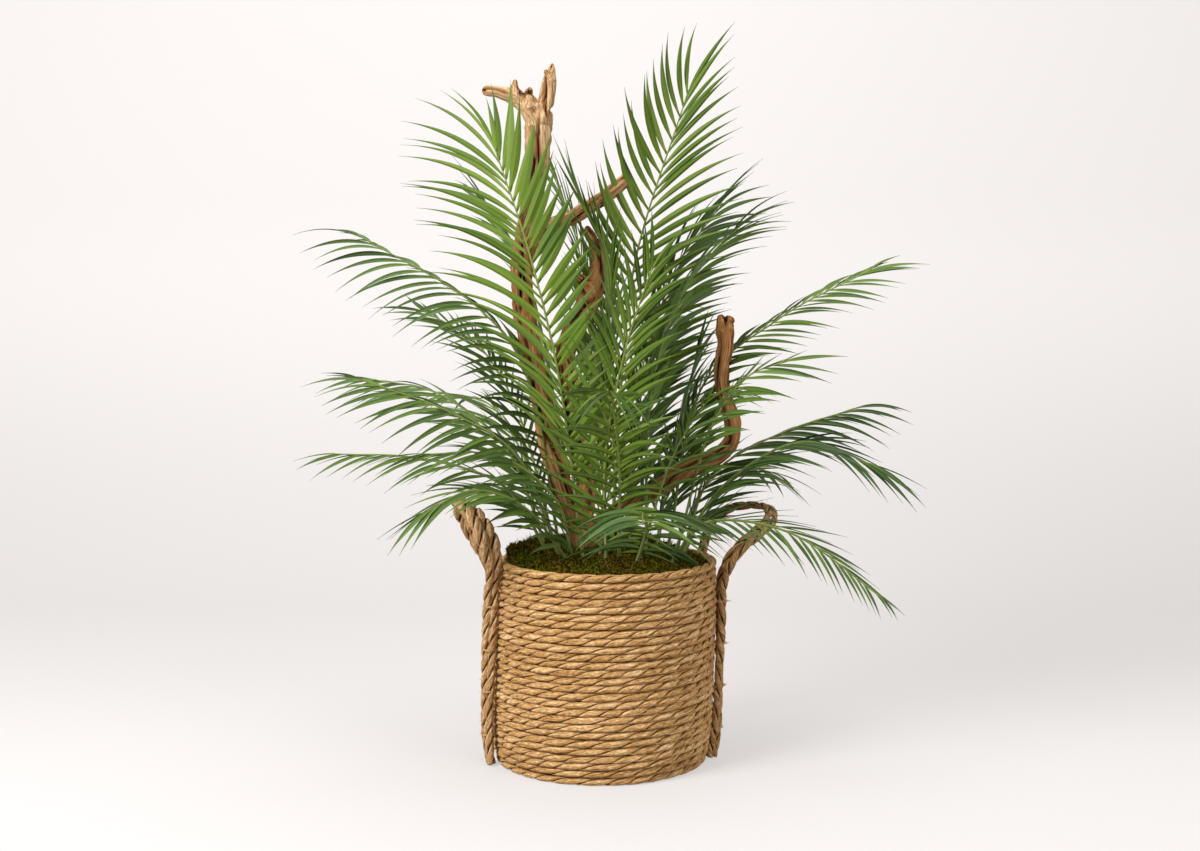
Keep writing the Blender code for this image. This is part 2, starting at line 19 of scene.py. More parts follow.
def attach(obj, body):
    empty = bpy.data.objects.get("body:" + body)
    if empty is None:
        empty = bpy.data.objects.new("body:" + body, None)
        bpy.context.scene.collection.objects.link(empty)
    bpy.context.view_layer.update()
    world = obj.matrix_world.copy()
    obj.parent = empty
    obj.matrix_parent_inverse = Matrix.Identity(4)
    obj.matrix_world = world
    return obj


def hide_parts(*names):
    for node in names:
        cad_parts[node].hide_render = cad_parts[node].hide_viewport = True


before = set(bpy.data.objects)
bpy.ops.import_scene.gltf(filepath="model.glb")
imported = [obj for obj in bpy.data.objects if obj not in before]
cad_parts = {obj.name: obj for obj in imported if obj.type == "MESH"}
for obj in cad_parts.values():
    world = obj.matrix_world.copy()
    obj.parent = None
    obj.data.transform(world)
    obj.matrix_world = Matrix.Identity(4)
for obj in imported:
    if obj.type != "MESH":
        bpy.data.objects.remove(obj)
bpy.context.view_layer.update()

# %% [markdown]
# ## Camera
#
# The view is from a little above the middle of the plant and looks down by a few degrees, so
# the moss shows as a thin oval inside the rim. A lens of about 50 mm on a full frame, from
# 2.3 m away, keeps the basket's sides nearly upright, as a catalogue shows them.

# %% Camera
CAMERA_PLACE = (-0.006, -2.3, 0.66)
LOOKS_DOWN = 4.7            # degrees
LENS, SENSOR = 49.5, 36     # millimetres


def new_object(name, data):
    """A new object in the scene: a mesh, a lamp or a camera."""
    thing = bpy.data.objects.new(name, data)
    bpy.context.scene.collection.objects.link(thing)
    return thing


camera = new_object("camera", bpy.data.cameras.new("camera"))
camera.location = CAMERA_PLACE
camera.rotation_euler = (math.radians(90 - LOOKS_DOWN), 0, 0)
camera.data.sensor_width = SENSOR
camera.data.lens = LENS
bpy.context.scene.camera = camera
print("camera at", tuple(round(v, 3) for v in camera.location))

# %% [markdown]
# ## Smooth wandering
#
# Nothing on a plant or on a hand-made basket is perfectly regular. A few sine waves of
# different lengths, added up, make a line that wanders smoothly and never jumps. Whole
# numbers of waves close on themselves, which suits a ring of rope.

# %% Wandering lines and routes
KNOT_STEPS = 24             # fine steps from one given point of a curve to the next


def wander(share, seed, waves=(1, 2, 3, 5, 8)):
    """Smooth wandering between about -1 and 1, for shares from 0 to 1; it closes on itself."""
    draw = random.Random(seed)
    swing = 0.0
    for count in waves:
        swing = swing + np.sin(2 * math.pi * (count * share + draw.random())) / math.sqrt(count)
    return swing / 1.6


def blend(start, end, share):
    """The value between two others, at a share from 0 to 1."""
    return start + (end - start) * share


def unit(vectors):
    return vectors / np.linalg.norm(vectors, axis=-1, keepdims=True)


def distances(points):
    """How far along a line each of its points is."""
    steps = np.linalg.norm(np.diff(points, axis=0), axis=1)
    return np.concatenate([[0], np.cumsum(steps)])


def route(points, count):
    """Evenly spaced points along a smooth curve through the given points."""
    knots = np.array(points, float)
    knots = np.vstack([2 * knots[0] - knots[1], knots, 2 * knots[-1] - knots[-2]])
    t = np.linspace(0, 1, KNOT_STEPS, endpoint=False)[:, None]
    fine = [0.5 * (2 * b + (c - a) * t + (2 * a - 5 * b + 4 * c - d) * t ** 2
                   + (3 * b - a - 3 * c + d) * t ** 3)
            for a, b, c, d in zip(knots, knots[1:], knots[2:], knots[3:])]
    fine = np.vstack(fine + [knots[-2][None]])
    along = distances(fine)
    wanted = np.linspace(0, along[-1], count)
    return np.stack([np.interp(wanted, along, fine[:, k]) for k in range(3)], axis=1)


def path_length(points):
    return float(np.linalg.norm(np.diff(points, axis=0), axis=1).sum())


def directions(points):
    return unit(np.gradient(points, axis=0))


def carried(points, first):
    """A direction across the path, carried along it without twisting."""
    tangents = directions(points)
    across = [unit(np.array(first) - tangents[0] * np.dot(first, tangents[0]))]
    for tangent in tangents[1:]:
        across.append(unit(across[-1] - tangent * np.dot(across[-1], tangent)))
    return tangents, np.array(across)


print("a wandering line starts at", round(float(wander(0.0, 1)), 3))

# %% [markdown]
# ## Meshes from swept sections
#
# Rope strands, stalks, leaflets and stray fibres are all one thing: a small section swept
# along a line. Each sweep is an array of points, and a heap collects thousands of them into
# one mesh. Every point also keeps where it lies on its own strand, in a mark named *run*
# (two numbers across, one along), and how light or dark its strand is, named *tone*. The
# materials read these marks, so fibres follow the strand wherever it turns.

# %% Meshes and their marks
made = {}           # the triangles of each piece


def triangles(mesh):
    return sum(len(face.vertices) - 2 for face in mesh.polygons)


def smooth_mesh(name, points, faces):
    mesh = bpy.data.meshes.new(name)
    mesh.from_pydata(points, [], faces)
    mesh.polygons.foreach_set("use_smooth", [True] * len(mesh.polygons))
    return mesh


def add_mark(mesh, name, values):
    """Keep one number, or three, for each point of a mesh."""
    kind, field = ('FLOAT', "value") if values.shape[1] == 1 else ('FLOAT_VECTOR', "vector")
    mark = mesh.attributes.new(name, kind, 'POINT')
    mark.data.foreach_set(field, values.astype(np.float32).ravel())


def per_sweep(values):
    """A mark with one value for each sweep."""
    return values[:, None, None, None]


def per_section(values):
    """A mark with one value for each section along a sweep."""
    return values[:, None, None]


def per_side(values):
    """A mark with one value for each point around a section."""
    return values[:, None]


def run_mark(across, upright, along):
    """The run mark of every point: two numbers across its strand, and one along it."""
    return np.stack(np.broadcast_arrays(across, upright, along), axis=-1)


def place(piece, material, slot, replaces=()):
    """Give a new piece its material, and hang it on the frame."""
    piece.data.materials.clear()
    piece.data.materials.append(material)
    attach(piece, "root")
    if replaces:
        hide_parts(*replaces)
    made[piece.name] = triangles(piece.data)


print("helpers: triangles, smooth_mesh, add_mark, run_mark, place")

# %% Heaps of swept sections
BLADE_SIDES = 4     # points in a section with sharp long edges: the leaflets


class Heap:
    """Collects swept sections, and builds one mesh from them."""

    def __init__(self):
        self.points, self.faces, self.marks, self.sharp, self.total = [], [], {}, [], 0

    def add_many(self, rings, closed=False, capped=True, sharp=False, **marks):
        """rings is an array of sweeps: (sweeps, sections, points in each section, 3)."""
        many, count, sides, _ = rings.shape
        index = np.arange(many * count * sides).reshape(many, count, sides) + self.total
        after = np.roll(index, -1, axis=1) if closed else index[:, 1:]
        before = index if closed else index[:, :-1]
        quads = np.stack([before, np.roll(before, -1, axis=2), np.roll(after, -1, axis=2),
                          after], axis=-1).reshape(-1, 4)
        self.faces.extend(quads.tolist())
        if capped and not closed:
            self.faces.extend(index[:, 0, ::-1].tolist())
            self.faces.extend(index[:, -1].tolist())
        self.points.append(rings.reshape(-1, 3))
        self.sharp.append(np.full(many * count * sides, sharp))
        for name, values in marks.items():
            values = np.asarray(values, float)
            wide = np.broadcast_to(values, (many, count, sides, values.shape[-1]))
            self.marks.setdefault(name, []).append(wide.reshape(-1, values.shape[-1]))
        self.total += many * count * sides

    def add(self, rings, **options):
        """One sweep: (sections, points in each section, 3)."""
        self.add_many(rings[None], **options)

    def build(self, name, material, slot, replaces=()):
        """One mesh piece from all that was added."""
        mesh = smooth_mesh(name, np.vstack(self.points).tolist(), self.faces)
        for mark, values in self.marks.items():
            add_mark(mesh, mark, np.vstack(values))
        sharp = np.concatenate(self.sharp)
        if sharp.any():
            ends = np.zeros(len(mesh.edges) * 2, int)
            mesh.edges.foreach_get("vertices", ends)
            ends = ends.reshape(-1, 2)
            apart = np.abs(ends[:, 0] - ends[:, 1])
            lengthwise = sharp[ends[:, 0]] & (apart == BLADE_SIDES)
            crease = mesh.attributes.new("sharp_edge", 'BOOLEAN', 'EDGE')
            crease.data.foreach_set("value", lengthwise)
        place(new_object(name, mesh), material, slot, replaces)


def around(sides):
    """Angles of the points of a round section, and their cosines and sines."""
    angles = np.linspace(0, 2 * math.pi, sides, endpoint=False)
    return angles, np.cos(angles), np.sin(angles)


def tube(centres, across, upright, sides):
    """Sections around a line. across and upright are vectors as long as the half axes."""
    _, cosines, sines = around(sides)
    return (centres[:, None] + across[:, None] * cosines[None, :, None]
            + upright[:, None] * sines[None, :, None])


print("a heap is ready")

# %% [markdown]
# ## Shader groups
#
# Three effects come back in most of the materials here. *Fibres* draws fine streaks along a
# strand, from its run mark. *Three tones* turns one number from 0 to 1 into a dark, a middle
# and a light colour. *Patches* is a slow cloudy change of colour. Each is built once as a
# node group and then placed with its own values.

# %% Node helpers
def add_node(tree, kind, inputs=None, **settings):
    """A shader node with its settings, its values and its links."""
    node = tree.nodes.new("ShaderNode" + kind)
    for key, value in settings.items():
        setattr(node, key, value)
    for key, value in (inputs or {}).items():
        socket = node.inputs[key]
        if isinstance(value, bpy.types.NodeSocket):
            tree.links.new(value, socket)
        else:
            socket.default_value = value
    return node


def maths(tree, operation, first, second=0.0, clamp=False):
    """One sum with two values, such as ADD or MULTIPLY."""
    node = add_node(tree, "Math", {0: first, 1: second}, operation=operation, use_clamp=clamp)
    return node.outputs[0]


def total(tree, start, *terms):
    """A value, plus each of the terms, which are pairs: a value and its weight."""
    for value, weight in terms:
        start = maths(tree, 'ADD', start, maths(tree, 'MULTIPLY', value, weight))
    return start


def mixed(tree, share, first, second, blend_type='MIX'):
    """Two colours, mixed."""
    node = add_node(tree, "Mix", {"Factor": share}, data_type='RGBA', blend_type=blend_type)
    for key, value in ((6, first), (7, second)):
        if isinstance(value, bpy.types.NodeSocket):
            tree.links.new(value, node.inputs[key])
        else:
            node.inputs[key].default_value = (*value[:3], 1.0)
    return node.outputs[2]


def ramp(tree, value, low, high):
    """0 below low, 1 above high, smooth between them."""
    node = add_node(tree, "MapRange", {"Value": value, "From Min": low, "From Max": high},
                    interpolation_type='SMOOTHSTEP')
    return node.outputs[0]


def new_group(name, inputs, outputs):
    """An empty node group; inputs maps a name to its kind and its value."""
    group = bpy.data.node_groups.new(name, 'ShaderNodeTree')
    for key, (kind, value) in inputs.items():
        socket = group.interface.new_socket(key, in_out='INPUT', socket_type="NodeSocket" + kind)
        socket.default_value = value
    for key, kind in outputs.items():
        group.interface.new_socket(key, in_out='OUTPUT', socket_type="NodeSocket" + kind)
    return group, group.nodes.new("NodeGroupInput"), group.nodes.new("NodeGroupOutput")


def use_group(tree, group, **inputs):
    """A node group placed in a material, with its own values."""
    node = tree.nodes.new("ShaderNodeGroup")
    node.node_tree = group
    for key, value in inputs.items():
        socket = node.inputs[key.replace("_", " ")]
        if isinstance(value, bpy.types.NodeSocket):
            tree.links.new(value, socket)
        else:
            socket.default_value = (*value, 1.0) if socket.type == 'RGBA' else value
    return node


print("node helpers are ready")

# %% The three groups
fibres, entry, leave = new_group(
    "fibres", {"Run": ("Vector", (0, 0, 0)), "Across": ("Float", 900.0), "Along": ("Float", 30.0)},
    {"Streaks": "Float", "Clumps": "Float"})
stretch = add_node(fibres, "CombineXYZ", {"X": entry.outputs["Across"],
                                          "Y": entry.outputs["Across"],
                                          "Z": entry.outputs["Along"]})
scaled = add_node(fibres, "VectorMath", {0: entry.outputs["Run"], 1: stretch.outputs[0]},
                  operation='MULTIPLY')
fine = add_node(fibres, "TexNoise", {"Vector": scaled.outputs[0], "Scale": 1.0, "Detail": 3.0,
                                     "Roughness": 0.65})
coarse = add_node(fibres, "TexNoise", {"Vector": scaled.outputs[0], "Scale": 0.28,
                                       "Detail": 1.0})
fibres.links.new(ramp(fibres, fine.outputs[0], 0.3, 0.7), leave.inputs["Streaks"])
fibres.links.new(ramp(fibres, coarse.outputs[0], 0.32, 0.68), leave.inputs["Clumps"])

three_tones, entry, leave = new_group(
    "three tones", {"Share": ("Float", 0.5), "Dark": ("Color", (0, 0, 0, 1)),
                    "Middle": ("Color", (0.5, 0.5, 0.5, 1)), "Light": ("Color", (1, 1, 1, 1))},
    {"Colour": "Color"})
lower = mixed(three_tones, ramp(three_tones, entry.outputs["Share"], 0.0, 0.5),
              entry.outputs["Dark"], entry.outputs["Middle"])
upper = mixed(three_tones, ramp(three_tones, entry.outputs["Share"], 0.5, 1.0),
              lower, entry.outputs["Light"])
three_tones.links.new(upper, leave.inputs["Colour"])

patches, entry, leave = new_group(
    "patches", {"Place": ("Vector", (0, 0, 0)), "Scale": ("Float", 10.0)}, {"Mask": "Float"})
cloud = add_node(patches, "TexNoise", {"Vector": entry.outputs["Place"],
                                       "Scale": entry.outputs["Scale"], "Detail": 2.0})
patches.links.new(ramp(patches, cloud.outputs[0], 0.35, 0.65), leave.inputs["Mask"])


def toned(tree, share, dark, middle, light):
    """A colour from dark to light, by a share from 0 to 1."""
    node = use_group(tree, three_tones, Share=share, Dark=dark, Middle=middle, Light=light)
    return node.outputs[0]


def cloudy(tree, scale):
    """A slow cloudy change from 0 to 1 over the piece."""
    spot = add_node(tree, "TexCoord").outputs["Object"]
    return use_group(tree, patches, Place=spot, Scale=scale).outputs[0]


def new_material(name, roughness, specular=0.5):
    """A material with a plain shader, and its tree."""
    material = bpy.data.materials.new(name)
    material.use_nodes = True
    tree = material.node_tree
    shader = tree.nodes["Principled BSDF"]
    shader.inputs["Roughness"].default_value = roughness
    shader.inputs["Specular IOR Level"].default_value = specular
    return material, tree, shader


def marked(tree, name, output="Fac"):
    """A mark of the mesh, as a number or as a Vector."""
    return add_node(tree, "Attribute", attribute_name=name).outputs[output]


def painted(tree, shader, colour):
    tree.links.new(colour, shader.inputs["Base Color"])


def bumped(tree, shader, height, strength, distance):
    """Small bumps as high as distance, in metres."""
    bump = add_node(tree, "Bump", {"Height": height, "Strength": strength,
                                   "Distance": distance})
    tree.links.new(bump.outputs[0], shader.inputs["Normal"])


print("shader groups:", [group.name for group in bpy.data.node_groups])

# %% [markdown]
# ## Rope material
#
# The rope is dried seagrass: flat straw-coloured blades twisted together. Its colour changes
# from blade to blade, so the streaks are stretched along the strand, and broad clumps of
# them share one shade. The creases between the strands are painted darker, as painted shade
# on the side of each strand that faces its partner. Straw has hardly any shine.

# %% Rope material
def rope_material(name, dark, middle, light, across=520.0, along=135.0):
    material, tree, shader = new_material(name, 0.82, specular=0.12)
    run = marked(tree, "run", "Vector")
    lines = use_group(tree, fibres, Run=run, Across=across, Along=along).outputs["Streaks"]
    blades = use_group(tree, fibres, Run=run, Across=across * 0.45,
                       Along=along * 0.16).outputs["Streaks"]
    # The crease mark paints the side of a strand that faces its partner darker: painted shade.
    share = total(tree, maths(tree, 'SUBTRACT', marked(tree, "tone"), 0.47),
                  (lines, 0.62), (blades, 0.40),
                  (ramp(tree, marked(tree, "crease"), 0.40, 0.78), -0.65))
    painted(tree, shader, toned(tree, share, dark, middle, light))
    bumped(tree, shader, maths(tree, 'ADD', lines, blades), 0.9, 0.0008)
    return material


rope = rope_material("seagrass rope", (0.11, 0.038, 0.005), (0.56, 0.300, 0.104),
                     (0.93, 0.64, 0.33))
braid_rope = rope_material("braided seagrass", (0.10, 0.036, 0.006), (0.52, 0.285, 0.110),
                           (0.88, 0.62, 0.36))
straw = rope_material("straw twine", (0.34, 0.20, 0.08), (0.62, 0.43, 0.20),
                      (0.85, 0.68, 0.42), across=1500.0)
print("rope materials:", rope.name, braid_rope.name, straw.name)

# %% [markdown]
# ## Basket
#
# A coiled basket is one long rope, laid round and round and sewn to the row below. Each rope
# is two strands twisted together, which gives the slanting lens shapes along every row. A
# flat wall with a bump map would look printed at the edge, so each row here is a real pair
# of strands. A strand is squeezed where it lies against its partner, so its section is an
# oval that turns with the twist.

# %% Shape of the wall
BASKET_HEIGHT = 0.285
FOOT_RADIUS, BELLY_RADIUS, RIM_RADIUS = 0.1475, 0.1555, 0.1525
BELLY_HEIGHT = 0.150
ROWS = 27
PITCH = BASKET_HEIGHT / ROWS
LEAN = 0.0045     # hand-coiled baskets are never quite plumb: foot to -X, rim to +X


def basket_radius(height):
    """Outside radius of the basket: it bellies out between its foot and its rim."""
    below = BELLY_RADIUS - (BELLY_RADIUS - FOOT_RADIUS) * (1 - height / BELLY_HEIGHT) ** 5
    rise = (height - BELLY_HEIGHT) / (BASKET_HEIGHT - BELLY_HEIGHT)
    above = BELLY_RADIUS - (BELLY_RADIUS - RIM_RADIUS) * rise ** 2
    return np.where(height < BELLY_HEIGHT, below, above)


def basket_shift(height):
    """How far the basket's middle lies to +X at a height."""
    return LEAN * (2 * height / BASKET_HEIGHT - 1)


print("wall radius at mid height:", round(float(basket_radius(0.14)), 4))

# %% Rows of two-strand rope
ROW_STEPS = 208
STRAND_SIDES = 8
ROW_TURNS = (13, 14, 15, 16)        # how often a row's strands turn on their way round
FIBRE_REACH = 0.0042                # how far from a strand's middle its run mark is read
# Against half a row's height: how far a strand's middle lies from its row's, and the half
# axes of its oval section.
STRAND_OFFSET, STRAND_THICK, STRAND_WIDE = 0.48, 0.58, 0.86


def coil_row(heap, row, draw):
    """One row of rope: two strands that turn around each other and close on themselves.

    Each wandering line adds what the maker's hand varies: height, thickness, reach, twist."""
    share = np.linspace(0, 1, ROW_STEPS, endpoint=False)
    angle = 2 * math.pi * share
    height = (row + 0.5) * PITCH + 0.0007 * wander(share, 100 + row, (1, 2, 3))
    thick = PITCH / 2 * (1.06 + 0.05 * wander(share, 200 + row))
    reach = basket_radius(height) - PITCH / 2 + 0.0006 * wander(share, 300 + row, (2, 5, 9))
    out = np.stack([np.cos(angle), np.sin(angle), 0 * angle], axis=1)
    up = np.array([0.0, 0.0, 0.90])             # squashed, so that a line shows between rows
    centre = out * reach[:, None]
    centre[:, 2] = height
    centre[:, 0] += basket_shift(height)
    turns = draw.choice(ROW_TURNS)
    start = draw.random() * 2 * math.pi
    twist = turns * angle + start + 1.2 * wander(share, 400 + row, (2, 3, 5, 7))
    twist = twist - 0.30 * np.sin(2 * twist)    # flat where a strand faces out, steep between
    section, cosines, _ = around(STRAND_SIDES)
    for strand in range(2):
        turn = (twist + math.pi * strand)[:, None]
        away = np.cos(turn) * out + np.sin(turn) * up
        beside = np.sin(turn) * out - np.cos(turn) * up
        plump = thick * (1 + 0.09 * wander(share, 500 + 2 * row + strand, (7, 13, 22, 31)))
        rings = tube(centre + away * (STRAND_OFFSET * thick)[:, None],
                     away * (STRAND_THICK * plump)[:, None],
                     beside * (STRAND_WIDE * plump)[:, None], STRAND_SIDES)
        rings[..., 2] = np.maximum(rings[..., 2], 0.0004)      # pressed flat by the floor
        along = angle * BELLY_RADIUS + 3.1 * row + 1.7 * strand
        fibre = section - 0.8 * turn
        run = run_mark(np.cos(fibre) * FIBRE_REACH, np.sin(fibre) * FIBRE_REACH,
                       along[:, None])
        shade = draw.uniform(0.45, 0.63) + 0.10 * wander(share, 600 + 2 * row + strand,
                                                         (3, 8, 17, 29))
        # crease is painted shade: it darkens the side of each strand that faces its partner.
        heap.add(rings, closed=True, run=run, tone=per_section(shade),
                 crease=per_side(np.clip(-cosines, 0, 1)))


draw = random.Random(7)
wall = Heap()
for row in range(ROWS - 1):
    coil_row(wall, row, draw)
wall.build("basket_wall", rope, "rope")
rim = Heap()
coil_row(rim, ROWS - 1, draw)
rim.build("basket_rim", rope, "rope")
print("basket rows:", ROWS, "triangles:", made["basket_wall"] + made["basket_rim"])

# %% [markdown]
# Behind the rows, a thin dark shell closes the gaps between them, as the sewing and the inner
# half of the rope do. Its dark tone is painted shade, for the gaps between the rows lie in shade.
# Under the basket, the floor is the same rope, wound in a flat spiral, so its profile is a row
# of half rounds.

# %% Lining and floor of the basket
LINING_DEPTH, LINING_THICK = 0.0066, 0.0022     # behind the wall's outside, and through it
LINING_END = 0.006                              # how far it stays off the foot and the rim
LINING_STEPS = 72


def turned(profile, steps):
    """Sections of a solid turned about Z. The profile is a closed line of (radius, height)."""
    share = np.linspace(0, 1, steps, endpoint=False)
    angle = 2 * math.pi * share
    ring = np.array(profile)
    points = np.empty((steps, len(ring), 3))
    points[..., 0] = np.cos(angle)[:, None] * ring[:, 0] + basket_shift(ring[:, 1])
    points[..., 1] = np.sin(angle)[:, None] * ring[:, 0]
    points[..., 2] = ring[:, 1]
    return points, angle


levels = np.linspace(LINING_END, BASKET_HEIGHT - LINING_END, 14)
outer = [(basket_radius(z) - LINING_DEPTH, z) for z in levels]
inner = [(radius - LINING_THICK, z) for radius, z in reversed(outer)]
ripples = np.linspace(0.0, FOOT_RADIUS - LINING_END, 92)
under = [(r, 0.0012 + 0.0016 * (1 - abs(math.sin(math.pi * r / PITCH)))) for r in ripples]
profile = inner + [(0.0004, 0.0105)] + [(max(r, 0.0004), z) for r, z in under] + outer
shell, angle = turned(profile, LINING_STEPS)
run = run_mark(*np.array(profile).T, (angle * 0.13)[:, None])
lining = Heap()
# tone 0.20 paints the whole shell dark: painted shade behind the rows.
lining.add(shell[:, ::-1], closed=True, run=run[:, ::-1], tone=[0.20])
lining.build("basket_lining", rope, "rope", ["basket"])
print("lining triangles:", made["basket_lining"])

# %% [markdown]
# ## Loose fibres
#
# Dried grass never lies quite flat. Short ends stick out of every rope, and they catch the
# light along its outline. Each is a thin curved sliver with three sides. Thousands of them
# are made in one step, as arrays.

# %% Slivers
SLIVER_SECTIONS, SLIVER_SIDES = 4, 3
FUZZ = 520


def slivers(bases, ways, lengths, radius, bend, sections=SLIVER_SECTIONS):
    """Thin curved tapering pieces, one for each base: (pieces, sections, sides, 3)."""
    share = np.linspace(0, 1, sections)[None, :, None]
    ways = unit(ways)
    lines = bases[:, None] + ways[:, None] * lengths[:, None, None] * share
    lines = lines + bend[:, None] * lengths[:, None, None] * share ** 2
    across = unit(np.cross(ways, unit(bend + 1e-4)))
    upright = np.cross(ways, across)
    _, cosines, sines = around(SLIVER_SIDES)
    taper = (radius * (1 - 0.85 * share))[..., None]
    return lines[:, :, None] + taper * (across[:, None, None] * cosines[:, None]
                                        + upright[:, None, None] * sines[:, None])


def add_slivers(heap, *form, **marks):
    """Put slivers in a heap. form is what slivers() takes; each gets a run mark of its own."""
    along = np.linspace(0, 0.01, SLIVER_SECTIONS)[:, None]
    run = run_mark(0.0, 0.0, along + 2.3 * np.arange(len(form[0]))[:, None, None])
    heap.add_many(slivers(*form), run=run, **marks)


dice = np.random.default_rng(11)
angle = dice.uniform(0, 2 * math.pi, FUZZ)
height = (np.floor(dice.uniform(2, ROWS, FUZZ)) + dice.uniform(0.15, 0.95, FUZZ)) * PITCH
out = np.stack([np.cos(angle), np.sin(angle), 0 * angle], axis=1)
aside = np.stack([-np.sin(angle), np.cos(angle), 0 * angle], axis=1)
base = out * (basket_radius(height) - 0.0016)[:, None]
base[:, 0] += basket_shift(height)
base[:, 2] = height
way = (aside * dice.choice([-1, 1], FUZZ)[:, None] + out * dice.uniform(0.1, 0.7, (FUZZ, 1))
       + np.array([0, 0, 1]) * dice.uniform(-0.5, 0.6, (FUZZ, 1)))
fuzz = Heap()
add_slivers(fuzz, base, way, dice.uniform(0.004, 0.013, FUZZ), 0.00028,
            dice.normal(0, 0.35, (FUZZ, 3)) - out * 0.15,
            tone=per_sweep(dice.uniform(0.35, 0.9, FUZZ)))
fuzz.build("basket_fibres", straw, "rope")
print("loose fibres:", FUZZ)

# %% [markdown]
# ## Handles
#
# Each handle is a pair of two-strand cords that lie side by side. Beside the wall they are
# pulled tight and run down to the foot, and above the rim they are loose and thick, which is
# kinder to the hand. The cords hardly turn around each other, but the two strands of each
# turn quickly, and that gives the fine slanting creases.

# %% Path of each handle
LEG_RADIUS, LEG_FOOT = 0.0082, 0.0026
LEG_GAP = {"left": 0.0036, "right": -0.0010}
TIE_HEIGHTS = (0.045, 0.105, 0.165, 0.225)
LEG_ANGLES = {"left_front": 196.0, "left_back": 171.5, "right_front": -4.0, "right_back": 34.0}
HANDLE_LOOPS = {
    "left": ((-0.153, -0.052, 0.272), (-0.156, -0.056, 0.301), (-0.166, -0.052, 0.330),
             (-0.182, -0.036, 0.352), (-0.197, -0.008, 0.362), (-0.199, 0.012, 0.347),
             (-0.190, 0.022, 0.323), (-0.177, 0.024, 0.296), (-0.168, 0.024, 0.275)),
    "right": ((0.174, -0.012, 0.278), (0.192, -0.010, 0.302), (0.214, -0.003, 0.319),
              (0.235, 0.012, 0.337), (0.233, 0.038, 0.350), (0.208, 0.066, 0.350),
              (0.178, 0.089, 0.340), (0.155, 0.099, 0.315)),
}


def leg_centre(leg, height):
    """Centre of a handle's leg at a height: it follows the wall."""
    angle = math.radians(LEG_ANGLES[leg])
    reach = float(basket_radius(height)) + LEG_GAP[leg.split("_")[0]] + LEG_RADIUS
    return (reach * math.cos(angle) + basket_shift(height), reach * math.sin(angle), height)


def handle_path(side, count):
    levels = (LEG_FOOT, 0.022, 0.06, 0.12, 0.19, 0.245)
    points = ([leg_centre(side + "_front", z) for z in levels] + list(HANDLE_LOOPS[side])
              + [leg_centre(side + "_back", z) for z in reversed(levels)])
    return route(points, count)


print("left handle is", round(path_length(handle_path("left", 200)), 3), "m long")

# %% Two cords side by side
# The first three hold two values each: one for the legs and one for the loop.
CORD_SET = (0.0047, 0.0068)          # middle of the handle to the middle of a cord
CORD_RADIUS = (0.0056, 0.0076)
SLIVER_SET = (0.0070, 0.0110)        # middle of the handle to the foot of a sliver
CORD_SWAY = {"left": (1.0, 1.57), "right": (1.2, 0.90)}       # a turn's length, the start
LOOP_SHARE = {"left": 1.1, "right": 0.68}    # thickness of a loop against the usual one
FAR_SHARE = {"left": 0.95, "right": 0.68}    # of its far half, against its near half
# The cords' tone for each handle: the right handle is painted darker than the left, as painted
# shade.
CORD_TONE_AND_PAINTED_SHADE = {"left": 0.58, "right": 0.44}
LOOP_START, LOOP_RISE = 0.262, 0.050         # heights between which the cords get thicker
CORD_TURN = 0.052                    # length in which its strands turn once
CORD_STRAND = (0.52, 0.57, 0.84)     # as STRAND_OFFSET, STRAND_THICK and STRAND_WIDE
CORD_FIBRE_REACH = 0.0040
CORD_STEPS, CORD_SIDES, CORD_FUZZ = 380, 12, 110


def add_loose_ends(heap, path, tangents, reach):
    """Slivers that stick out all along a handle. reach is how far out they start."""
    ends = dice.choice(np.flatnonzero(path[:, 2] > 0.02), CORD_FUZZ)
    normal = unit(dice.normal(0, 1, (CORD_FUZZ, 3)))
    side_on = unit(normal - tangents[ends] * (normal * tangents[ends]).sum(1, keepdims=True))
    way = side_on * 0.5 + tangents[ends] * dice.normal(0, 1, (CORD_FUZZ, 1))
    add_slivers(heap, path[ends] + side_on * reach[ends, None], way,
                dice.uniform(0.004, 0.012, CORD_FUZZ), 0.0003,
                dice.normal(0, 0.4, (CORD_FUZZ, 3)), crease=[0.0],
                tone=per_sweep(dice.uniform(0.5, 0.95, CORD_FUZZ)))


